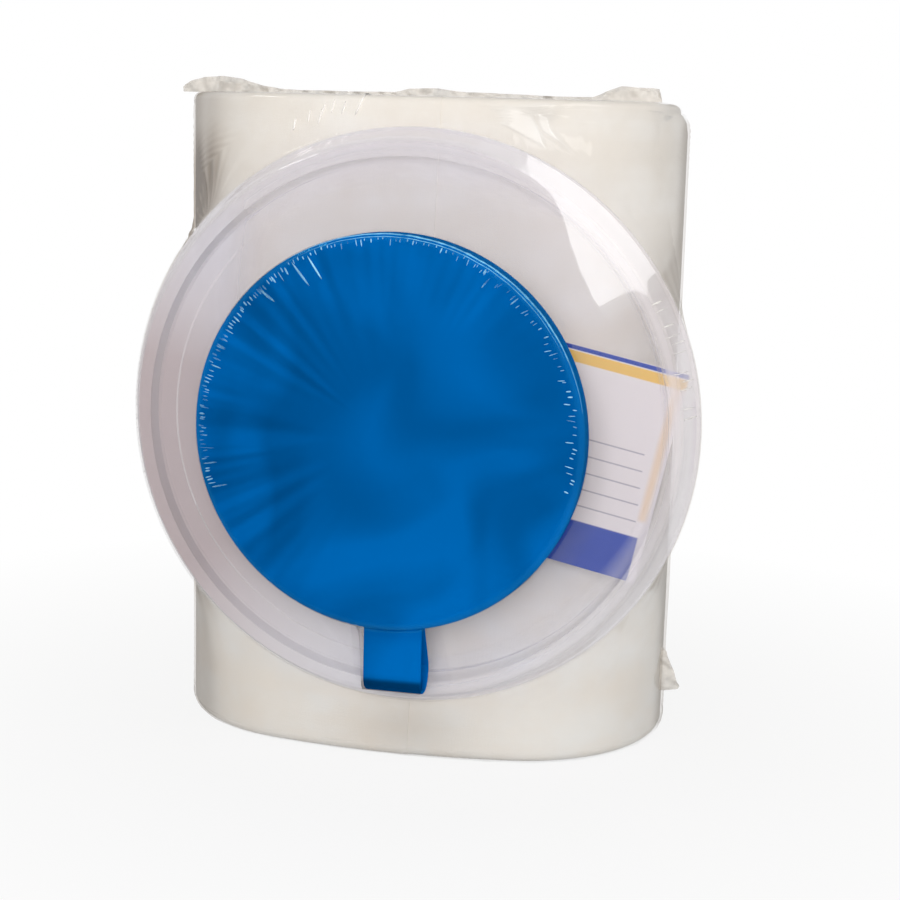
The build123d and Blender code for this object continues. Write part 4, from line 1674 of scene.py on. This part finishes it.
def cover_painted_shade(place):
    """Painted shade: the cover's folds, a darker left, lighter top and foot, and the strap's bend.
    """
    across, up = place[:, 0] - lid_x, place[:, 2] - lid_z
    radius, clock = np.hypot(across, up), np.arctan2(up, across)
    folds = np.clip(pulled_folds(radius, clock), -1, 1)
    on_face = smooth_step(cap_radius + 0.2 * mm, cap_radius - 3 * mm, radius)
    left, top = smooth_step(-10 * mm, -50 * mm, across), smooth_step(20 * mm, 60 * mm, up)
    # painted shade at the left and painted light at the top; lighter towards the foot
    zone = painted_light_zones * (left - top) - foot_zone_tone * smooth_step(-20 * mm, -60 * mm, up)
    # painted shade at the strap's lower bend
    bend = smooth_step(tongue_foot + 5.5 * mm, tongue_foot + 3 * mm, place[:, 2])
    shade = on_face * (cover_tone + zone - painted_fold_shade * folds) + painted_bend_shade * bend
    return np.clip(shade, 0, 0.6)


# %% The cover's mesh


def make_cover():
    """Face, rounded edge, skirt and tongue as one polar grid."""
    clocks = np.linspace(0, 2 * math.pi, cover_columns, endpoint=False) - math.pi / 2
    offset = np.abs(lid_x + cap_radius * np.cos(clocks) - strap_x)
    tongue = smooth_step(strap_half_width + 2.5 * mm, strap_half_width + 0.2 * mm, offset)
    tongue = (tongue * (np.sin(clocks) < 0))[:, None]
    face_stack = cap_stack + cover_gap
    rows = []
    flat_radius = cap_radius - edge_round
    for share in face_shares:
        radius = np.full_like(clocks, share * flat_radius)
        rows.append((radius, face_stack + cover_creases(radius, clocks)))
    for angle in np.linspace(0, math.pi / 2, turn_rows)[1:]:
        radius = np.full_like(clocks, flat_radius + (edge_round + cover_gap) * math.sin(angle))
        stack = face_stack - (edge_round + cover_gap) * (1 - math.cos(angle))
        rows.append((radius, stack + cover_creases(radius, clocks) * math.cos(angle)))
    places = [turned_places(radius, stack, clocks) for radius, stack in rows]
    leaf_stack = roll_front - (hinge_y - fold_radius - strap_gauge / 2) + cover_gap
    edge = places[-1]
    for share in np.linspace(0, 1, skirt_rows)[1:]:
        skirt = edge.copy()
        skirt[:, 1] += share * (cap_stack - edge_round - cap_rear_stack - 0.3 * mm)
        hanging = edge.copy()
        drop = smooth_step(0, 0.35, share) * (roll_front - leaf_stack - edge[:, 1])
        hanging[:, 1] += drop
        hanging[:, 2] += share * (tongue_foot - edge[:, 2])
        places.append(skirt * (1 - tongue) + hanging * tongue)
    grid = np.array(places)
    faces = grid_quads(grid.shape[0], grid.shape[1], close_columns=True)
    piece = new_piece("cap_film", grid.reshape(-1, 3), faces, cap_film_finish)
    store_field(piece, "painted_shade", cover_painted_shade)
    return piece


cap_film = make_cover()
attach(cap_film, "cap")
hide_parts("film_cap")

# %% [markdown]
# ## Puckers
#
# Just inside the cap's edge and on the lid's rim, the shrinking film rises in dozens of short
# sharp ridges. Their bright milky colour is partly the whitening of folded film and partly a
# painted highlight. They repeat along a circle, so one Geometry Nodes tree makes them all: points
# spread along an arc with a little jitter, each with a ridge of its own length and lean. Most
# ridges are short and a few are long, which a high power of an even chance gives.
# A long thin ridge is a stretched sphere with few faces, because there are so many of them.

# %% Geometry Nodes tree for the puckers
length_power = 4.0


def random_number(tree, seed, offset, low, high):
    """A random number for each point, from the tree's seed plus an offset of its own."""
    values = {"Min": low, "Max": high, "Seed": calc(tree, "ADD", seed, float(offset))}
    return add_node(tree, "FunctionNodeRandomValue", values, data_type="FLOAT").outputs["Value"]


def make_puckers_tree():
    """Short ridges along an arc about the lid's axis, each lying along its own radius."""
    tree, given, result = new_geometry_tree(
        "film_puckers",
        [
            ("Count", "NodeSocketInt", 60),
            ("First clock", "NodeSocketFloat", 0.0),
            ("Last clock", "NodeSocketFloat", math.pi),
            ("Radius", "NodeSocketFloat", 67.5 * mm),
            ("Radius spread", "NodeSocketFloat", 1.0 * mm),
            ("Shortest", "NodeSocketFloat", 1.6 * mm),
            ("Longest", "NodeSocketFloat", 9.0 * mm),
            ("Width", "NodeSocketFloat", 0.5 * mm),
            ("Rise", "NodeSocketFloat", 0.7 * mm),
            ("Lean", "NodeSocketFloat", 0.2),
            ("Lean middle", "NodeSocketFloat", 0.0),
            ("Seed", "NodeSocketInt", 3),
            ("Finish", "NodeSocketMaterial", None),
        ],
    )
    seed, first = given.outputs["Seed"], given.outputs["First clock"]
    jitter = random_number(tree, seed, 0, 0.1, 0.9)
    step = calc(tree, "ADD", tree.nodes.new("GeometryNodeInputIndex").outputs[0], jitter)
    share = calc(tree, "DIVIDE", step, given.outputs["Count"])
    sweep = calc(tree, "SUBTRACT", given.outputs["Last clock"], first)
    clock = calc(tree, "MULTIPLY_ADD", share, sweep, first)
    chance = random_number(tree, seed, 1, 0.0, 1.0)
    stretch = calc(tree, "POWER", chance, length_power)
    extra = calc(tree, "SUBTRACT", given.outputs["Longest"], given.outputs["Shortest"])
    length = calc(tree, "MULTIPLY_ADD", stretch, extra, given.outputs["Shortest"])
    either_side = random_number(tree, seed, 2, -1.0, 1.0)
    apart = calc(tree, "MULTIPLY", given.outputs["Radius spread"], either_side)
    outer = calc(tree, "ADD", given.outputs["Radius"], apart)
    middle = calc(tree, "MULTIPLY_ADD", length, -0.5, outer)
    across = calc(tree, "MULTIPLY_ADD", calc(tree, "COSINE", clock), middle, lid_x)
    up = calc(tree, "MULTIPLY_ADD", calc(tree, "SINE", clock), middle, lid_z)
    place = add_node(tree, "ShaderNodeCombineXYZ", {0: across, 2: up})
    point_values = {"Count": given.outputs["Count"], "Position": place.outputs[0]}
    points = add_node(tree, "GeometryNodePoints", point_values)
    round_turn = add_node(tree, "ShaderNodeCombineXYZ", {1: calc(tree, "MULTIPLY", clock, -1.0)})
    along_radius = add_node(tree, "FunctionNodeEulerToRotation", {0: round_turn.outputs[0]})
    swing = calc(tree, "MULTIPLY", given.outputs["Lean"], random_number(tree, seed, 3, -1.0, 1.0))
    lean = calc(tree, "ADD", swing, given.outputs["Lean middle"])
    tipped = add_node(tree, "ShaderNodeCombineXYZ", {1: lean})
    own_turn = add_node(tree, "FunctionNodeEulerToRotation", {0: tipped.outputs[0]})
    turned = add_node(
        tree,
        "FunctionNodeRotateRotation",
        {0: along_radius.outputs[0], 1: own_turn.outputs[0]},
        rotation_space="LOCAL",
    )
    width = calc(tree, "MULTIPLY", given.outputs["Width"], random_number(tree, seed, 4, 0.6, 1.3))
    size = add_node(tree, "ShaderNodeCombineXYZ", {0: length, 1: given.outputs["Rise"], 2: width})
    ridge = add_node(tree, "GeometryNodeMeshUVSphere", {"Segments": 8, "Rings": 6, "Radius": 0.5})
    copies = add_node(
        tree,
        "GeometryNodeInstanceOnPoints",
        {
            "Points": points.outputs[0],
            "Instance": ridge.outputs[0],
            "Rotation": turned.outputs[0],
            "Scale": size.outputs[0],
        },
    )
    real = add_node(tree, "GeometryNodeRealizeInstances", {0: copies.outputs[0]})
    finished = add_node(
        tree, "GeometryNodeSetMaterial", {0: real.outputs[0], "Material": given.outputs["Finish"]}
    )
    tree.links.new(finished.outputs[0], result.inputs[0])
    return tree


puckers_tree = make_puckers_tree()

# %% Puckers on cap, rim and roll
# each run: clocks in degrees, radius and lengths in millimetres, leans in radians
pucker_runs = {
    "cap_puckers_left": {
        "body": "cap", "count": 64, "clocks": (122, 200), "radius": 69.9, "spread": 0.7,
        "lengths": (2.0, 6.5), "width": 0.58, "lean": 0.10, "lean_middle": 0.02,
    },
    "cap_puckers_long": {
        "body": "cap", "count": 3, "clocks": (108, 136), "radius": 70.2, "spread": 0.4,
        "lengths": (8.0, 12.0), "width": 0.85, "lean": 0.05, "lean_middle": -0.16,
    },
    "cap_puckers_top": {
        "body": "cap", "count": 38, "clocks": (56, 122), "radius": 70.6, "spread": 0.3,
        "lengths": (0.9, 3.2), "width": 0.40, "lean": 0.12, "lean_middle": 0.0,
    },
    "cap_puckers_right": {
        "body": "cap", "count": 40, "clocks": (-14, 62), "radius": 69.4, "spread": 1.0,
        "lengths": (1.6, 4.8), "width": 0.46, "lean": 0.12, "lean_middle": 0.20,
    },
    "rim_puckers_right": {
        "body": "set", "count": 11, "clocks": (4, 30), "radius": 107.6, "spread": 0.8,
        "lengths": (3.5, 7.5), "width": 0.55, "lean": 0.10, "lean_middle": 0.10,
    },
    "rim_puckers_left": {
        "body": "set", "count": 22, "clocks": (158, 196), "radius": 108.0, "spread": 0.8,
        "lengths": (1.6, 4.0), "width": 0.40, "lean": 0.10, "lean_middle": 0.0,
    },
    "roll_puckers_top": {
        "body": "set", "count": 7, "clocks": (100, 114), "radius": 122.0, "spread": 1.2,
        "lengths": (5.0, 10.0), "width": 0.75, "lean": 0.06, "lean_middle": 0.55,
    },
}
pucker_rise = 0.7 * mm
first_seed = 3
seed_step = 10
viewer_distance = 100 * mm

# %% Laying the puckers on the film


def lay_on(piece, film):
    """Moves each vertex of a piece towards the back until its nominal plane lies on the film."""
    surface = BVHTree.FromPolygons(
        [vertex.co for vertex in film.data.vertices],
        [tuple(face.vertices) for face in film.data.polygons],
    )
    start = roll_front - viewer_distance
    backwards = Vector((0, 1, 0))
    for vertex in piece.data.vertices:
        place = surface.ray_cast(Vector((vertex.co.x, start, vertex.co.z)), backwards)[0]
        vertex.co.y += place.y if place else roll_front


def make_puckers(number, name, run):
    """One run of puckers as a plain mesh on the body that carries it."""
    on_cap = run["body"] == "cap"
    values = {
        "Count": run["count"],
        "First clock": math.radians(run["clocks"][0]),
        "Last clock": math.radians(run["clocks"][1]),
        "Radius": run["radius"] * mm,
        "Radius spread": run["spread"] * mm,
        "Shortest": run["lengths"][0] * mm,
        "Longest": run["lengths"][1] * mm,
        "Width": run["width"] * mm,
        "Rise": pucker_rise,
        "Lean": run["lean"],
        "Lean middle": run["lean_middle"],
        "Seed": first_seed + seed_step * number,
        "Finish": pucker_blue_highlight if on_cap else pucker_white_highlight,
    }
    carrier = bpy.data.objects.new("carrier", bpy.data.meshes.new("carrier"))
    bpy.context.scene.collection.objects.link(carrier)
    piece = plain_mesh_of(carrier, puckers_tree, values, name)
    piece.data.shade_smooth()
    lay_on(piece, cap_film if on_cap else shrink_wrap)
    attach(piece, run["body"])


for run_number, (run_name, run) in enumerate(pucker_runs.items()):
    make_puckers(run_number, run_name, run)


# %% [markdown]
# ## Bright lines on the cap's edge
#
# Where the film turns over the cap's rounded edge, two fine bright lines at the top right are
# painted highlights, in a bright blue matt finish. Each is a thin tube along an arc that thins out
# at its ends and wavers a little, because a line of perfectly even width looks drawn on. Their
# radii stay inside the cap's edge, so that every point of a line finds the film to lie on.

# %% Edge lines
# each painted highlight: radius, first and last clock in degrees, and half width
edge_lines = {
    "edge_line_inner": (cap_radius - 1.2 * mm, 26, 122, 0.12 * mm),
    "edge_line_outer": (cap_radius - 0.25 * mm, 10, 128, 0.22 * mm),
}
line_points = 240
line_sides = 6
line_waver = 0.05 * mm
thinnest_share = 0.15
width_ripple = 0.30
width_waves = (30, 160, 81)
waver_waves = (12, 60, 82)


def make_edge_line(name, radius, first, last, half_width):
    """A thin tapered tube along an arc about the lid's axis, laid on the cap's film."""
    clocks = np.radians(np.linspace(first, last, line_points))
    along = np.linspace(0, 1, line_points)
    ends = smooth_step(0, 0.25, along) * smooth_step(1, 0.7, along)
    fullness = 1 - thinnest_share + width_ripple * ripple(clocks, *width_waves)
    width = half_width * (thinnest_share + ends * fullness)
    waver = radius + line_waver * ripple(clocks, *waver_waves)
    rows = []
    for angle in np.linspace(0, 2 * math.pi, line_sides, endpoint=False):
        row = turned_places(waver + width * math.cos(angle), np.zeros_like(clocks), clocks)
        row[:, 1] = width * math.sin(angle)
        rows.append(row)
    grid = np.array(rows)
    faces = grid_quads(grid.shape[0], grid.shape[1], close_rows=True)
    piece = new_piece(name, grid.reshape(-1, 3), faces, painted_edge_highlight, weld=1e-7)
    lay_on(piece, cap_film)
    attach(piece, "cap")


for line_name, line_sizes in edge_lines.items():
    make_edge_line(line_name, *line_sizes)


# %% [markdown]
# ## Crushed seal ears
#
# The bag is sealed across the roll's top end. The seal itself shrinks to a narrow fin, and the
# corners stay as small crumpled ears. One more ear stands on the right side, low down. A fin is a
# double sheet, so it is milky rather than clear, and its folds lean back and forth.

# %% Seal fin
fin_points = 330
fin_rows = 9
film_top_z = roll_top + 0.6 * mm
fin_ends = (-100.5, 91.5)
fin_outline = (
    (-100.5, 1.4),
    (-98, 3.8),
    (-92, 5.3),
    (-84, 5.7),
    (-76, 5.0),
    (-68, 3.0),
    (-60, 1.6),
    (-52, 1.1),
    (-13, 1.1),
    (-7, 2.6),
    (4, 2.8),
    (16, 1.8),
    (32, 1.5),
    (46, 0.9),
    (65, 0.9),
    (71, 3.4),
    (76, 5.2),
    (88, 4.8),
    (90.5, 4.3),
    (91.5, 0.6),
)
side_ear_outline = (
    (18.2, 0.0),
    (19.4, 7.6),
    (20.5, 8.2),
    (34.8, 2.4),
    (37.0, 0.0),
)
side_ear_advance = 5.0 * mm
side_ear_inset = 0.8 * mm
side_ear_points = 70
fin_inset = 0.5 * mm
sheet_half_gap = 0.25 * mm
fin_folds = (
    (fin_ends, fin_points, 1.0, 0.0, 41),
    ((-99.0, -64.0), 90, 0.72, 2.2, 51),
    ((69.0, 90.0), 60, 0.70, 2.0, 61),
)  # (from and to, points, share of the height, millimetres forward, seed)

# %% Folded sheets


def folded_sheet(foot, rise, sway_way, rise_way, seed):
    """A double sheet on a line of foot points: its rows rise by rise_way and sway sideways."""
    points = len(foot)
    along = np.linspace(0, math.pi, points)
    length = float(np.linalg.norm(foot[-1] - foot[0]))
    sway = 1.1 * ripple(along, round(length / (16 * mm)), round(length / (2.6 * mm)), seed + 1)
    sag = ripple(along, round(length / (9 * mm)), round(length / (2.2 * mm)), seed + 2)
    rows = []
    for side in (1, -1):
        for row in range(fin_rows):
            share = row / (fin_rows - 1)
            share = share if side > 0 else 1 - share
            aside = (share * sway + 0.5 * math.sin(5 * share) * sag) * mm
            aside = aside + side * sheet_half_gap * (1.3 - share)
            rows.append(foot + np.outer(aside, sway_way) + np.outer(rise * share, rise_way))
    return np.array(rows)


# %% The fin and its ears


def make_fin():
    """Top fin with its three ears, a second fold in front of the left ear, and the side ear."""
    heights = np.array(fin_outline)
    grids = []
    for (low, high), points, scale, forward, seed in fin_folds:
        across = np.linspace(low, high, points)
        uneven = 1 + 0.07 * ripple(across / 60, 4, 20, seed + 3)
        rise = np.interp(across, heights[:, 0], heights[:, 1]) * scale * uneven * mm
        foot = np.stack(
            [
                roll_x + across * mm,
                np.full(points, roll_y - seam_setback - forward * mm),
                np.full(points, film_top_z - fin_inset),
            ],
            1,
        )
        grids.append(folded_sheet(foot, rise + fin_inset, (0, 1, 0), (0, 0, 1), seed))
    side_shape = np.array(side_ear_outline)
    up = np.linspace(side_shape[0, 0], side_shape[-1, 0], side_ear_points)
    reach = np.interp(up, side_shape[:, 0], side_shape[:, 1]) * mm
    ear_x = np.full_like(up, roll_x + roll_half_width - side_ear_inset)
    ear_y = np.full_like(up, roll_y - side_ear_advance)
    side_foot = np.stack([ear_x, ear_y, up * mm], 1)
    grids.append(folded_sheet(side_foot, reach, (0, 1, 0), (1, 0, 0), 71))
    places, faces = [], []
    for grid in grids:
        faces += grid_quads(grid.shape[0], grid.shape[1], first=len(places), close_rows=True)
        places += [tuple(place) for place in grid.reshape(-1, 3)]
    piece = new_piece("seal_fin", places, faces, crushed_film)
    piece.data.set_sharp_from_angle(angle=math.radians(60))
    return piece


seal_fin = make_fin()
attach(seal_fin, "set")
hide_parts("film_ears")

# %% [markdown]
# ## The label sheet
#
# The label is a card behind the lid. Its print is generic: a thin blue rule, a yellow band and
# side border, blank ruled lines and a blue block. All of it is drawn by the material from places
# on the card, turned so that the bands follow the card's tilt.

# %% Label sizes and inks
label_low, label_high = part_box("label_sheet")
label_tilt = math.radians(-12.0)
label_half_width = 65.0
label_half_height = 40.5
ink_blue = (0.0, 0.05, 0.42, 1)
ink_yellow = (0.95, 0.60, 0.14, 1)
ink_peach = (0.90, 0.72, 0.54, 1)
ink_rule = (0.42, 0.39, 0.46, 1)
paper_white = (0.92, 0.87, 0.85, 1)
paper_shade = (0.88, 0.83, 0.81, 1)
rule_count = 5
rule_first = 7.5
rule_pitch = 6.3
rule_half_height = 0.22
rule_left = -30.0
rule_right = 56.5
rule_growth = 0.8
past_edge = label_half_width + 1
label_bands = (
    (ink_peach, -17.0, 36.0, 60.4, 63.4, 0.9),
    (ink_yellow, 34.3, 38.3, -past_edge, past_edge, 0.2),
    (ink_blue, 38.7, 40.3, -past_edge, past_edge, 0.15),
    (ink_blue, -label_half_height - 1, -23.5, -past_edge, 62.0, 0.3),
)  # (ink, from and to in height, from and to across, softness)

# %% Printing the label


def inside(tree, value, low, high, soft=0.12):
    """1 where the value lies between low and high, with a soft edge, all in millimetres."""
    above = ramp(tree, value, low - soft, low + soft)
    below = ramp(tree, value, high - soft, high + soft, 1.0, 0.0)
    return calc(tree, "MULTIPLY", above, below)


def make_label():
    """Printed card: bands and rules in the card's own directions, in millimetres."""
    material, tree, output = start_material("label_paper")
    middle = (label_low + label_high) / 2
    place = object_places(tree)
    centred = vector_calc(tree, "SUBTRACT", place, tuple(middle)).outputs[0]
    lean, rise = math.sin(label_tilt), math.cos(label_tilt)
    side, up = (
        vector_calc(tree, "DOT_PRODUCT", centred, Vector(way) / mm).outputs["Value"]
        for way in ((rise, 0, lean), (-lean, 0, rise))
    )
    grain = noise(tree, place, 900.0, 3.0)
    colour = blend_colours(tree, grain, paper_shade, paper_white)
    for number in range(rule_count):
        height = rule_first - rule_pitch * number
        rule = inside(tree, up, height - rule_half_height, height + rule_half_height, 0.2)
        length = inside(tree, side, rule_left, rule_right + rule_growth * number)
        colour = blend_colours(tree, calc(tree, "MULTIPLY", rule, length), colour, ink_rule)
    for ink, low, high, left, right, soft in label_bands:
        band = inside(tree, up, low, high, soft)
        band = calc(tree, "MULTIPLY", band, inside(tree, side, left, right, soft))
        colour = blend_colours(tree, band, colour, ink)
    surface = add_node(
        tree,
        "ShaderNodeBsdfPrincipled",
        {
            "Base Color": colour,
            "Roughness": 0.6,
            "Specular IOR Level": 0.3,
            "Normal": skin_bump(tree, grain, 0.1, 0.05 * mm),
        },
    )
    tree.links.new(surface.outputs[0], output.inputs["Surface"])
    return material


label_paper = make_label()

# %% [markdown]
# ## Finishes on the CAD mouldings
#
# Lid, cap, outlet, tether ring, rear strap, label and the first wipe keep their CAD meshes. Only
# the material in each slot changes, so nothing can drift away from what the CAD model says.

# %% Dressing the CAD nodes


def dress(node_name, material):
    """Gives every material slot of a CAD node the same finish."""
    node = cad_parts[node_name]
    node.data.materials.clear()
    node.data.materials.append(material)
    print(node_name, "in", material.name)


for node_name, finish in (
    ("lid_shell", frosted),
    ("outlet_star", outlet_soft),
    ("cap_shell", cap_blue),
    ("tether_ring", cap_blue),
    ("strap_rear", cap_blue),
    ("label_sheet", label_paper),
    ("first_wipe", roll_cloth),
):
    dress(node_name, finish)


# %% [markdown]
# ## Floor
#
# The set stands on a white floor that fades into the white world. For the camera the floor adds a
# little light of its own, so that it stays white everywhere except in the set's soft shadow.

# %% Floor
floor_half_width = 6.0
floor_greys = ((0.60, 0.60, 0.60, 1), (0.63, 0.63, 0.63, 1))
glow_radii = (0.10, 0.36)
glow_near = 0.88


def make_floor():
    """A wide white sheet under the set."""
    material, tree, output = start_material("floor_white")
    colour = blend_colours(tree, noise(tree, object_places(tree), 3.0, 2.0), *floor_greys)
    paint = add_node(tree, "ShaderNodeBsdfDiffuse", {"Color": colour})
    glow = add_node(tree, "ShaderNodeEmission", {"Color": (1, 1, 1, 1), "Strength": 1.0})
    path = tree.nodes.new("ShaderNodeLightPath")
    seen = calc(tree, "MAXIMUM", path.outputs["Is Camera Ray"], path.outputs["Is Glossy Ray"])
    seen = calc(tree, "MAXIMUM", seen, path.outputs["Is Transmission Ray"])
    distance = vector_calc(tree, "LENGTH", object_places(tree)).outputs["Value"]
    share = calc(tree, "MULTIPLY", seen, ramp(tree, distance, *glow_radii, glow_near, 1.0))
    mix = mix_shaders(tree, share, paint.outputs[0], glow.outputs[0])
    tree.links.new(mix, output.inputs["Surface"])
    reach = floor_half_width
    corners = [(-reach, -reach, 0), (reach, -reach, 0), (reach, reach, 0), (-reach, reach, 0)]
    mesh = bpy.data.meshes.new("floor")
    mesh.from_pydata(corners, [], [(0, 1, 2, 3)])
    mesh.materials.append(material)
    floor = bpy.data.objects.new("floor", mesh)
    bpy.context.scene.collection.objects.link(floor)
    return floor


floor = make_floor()
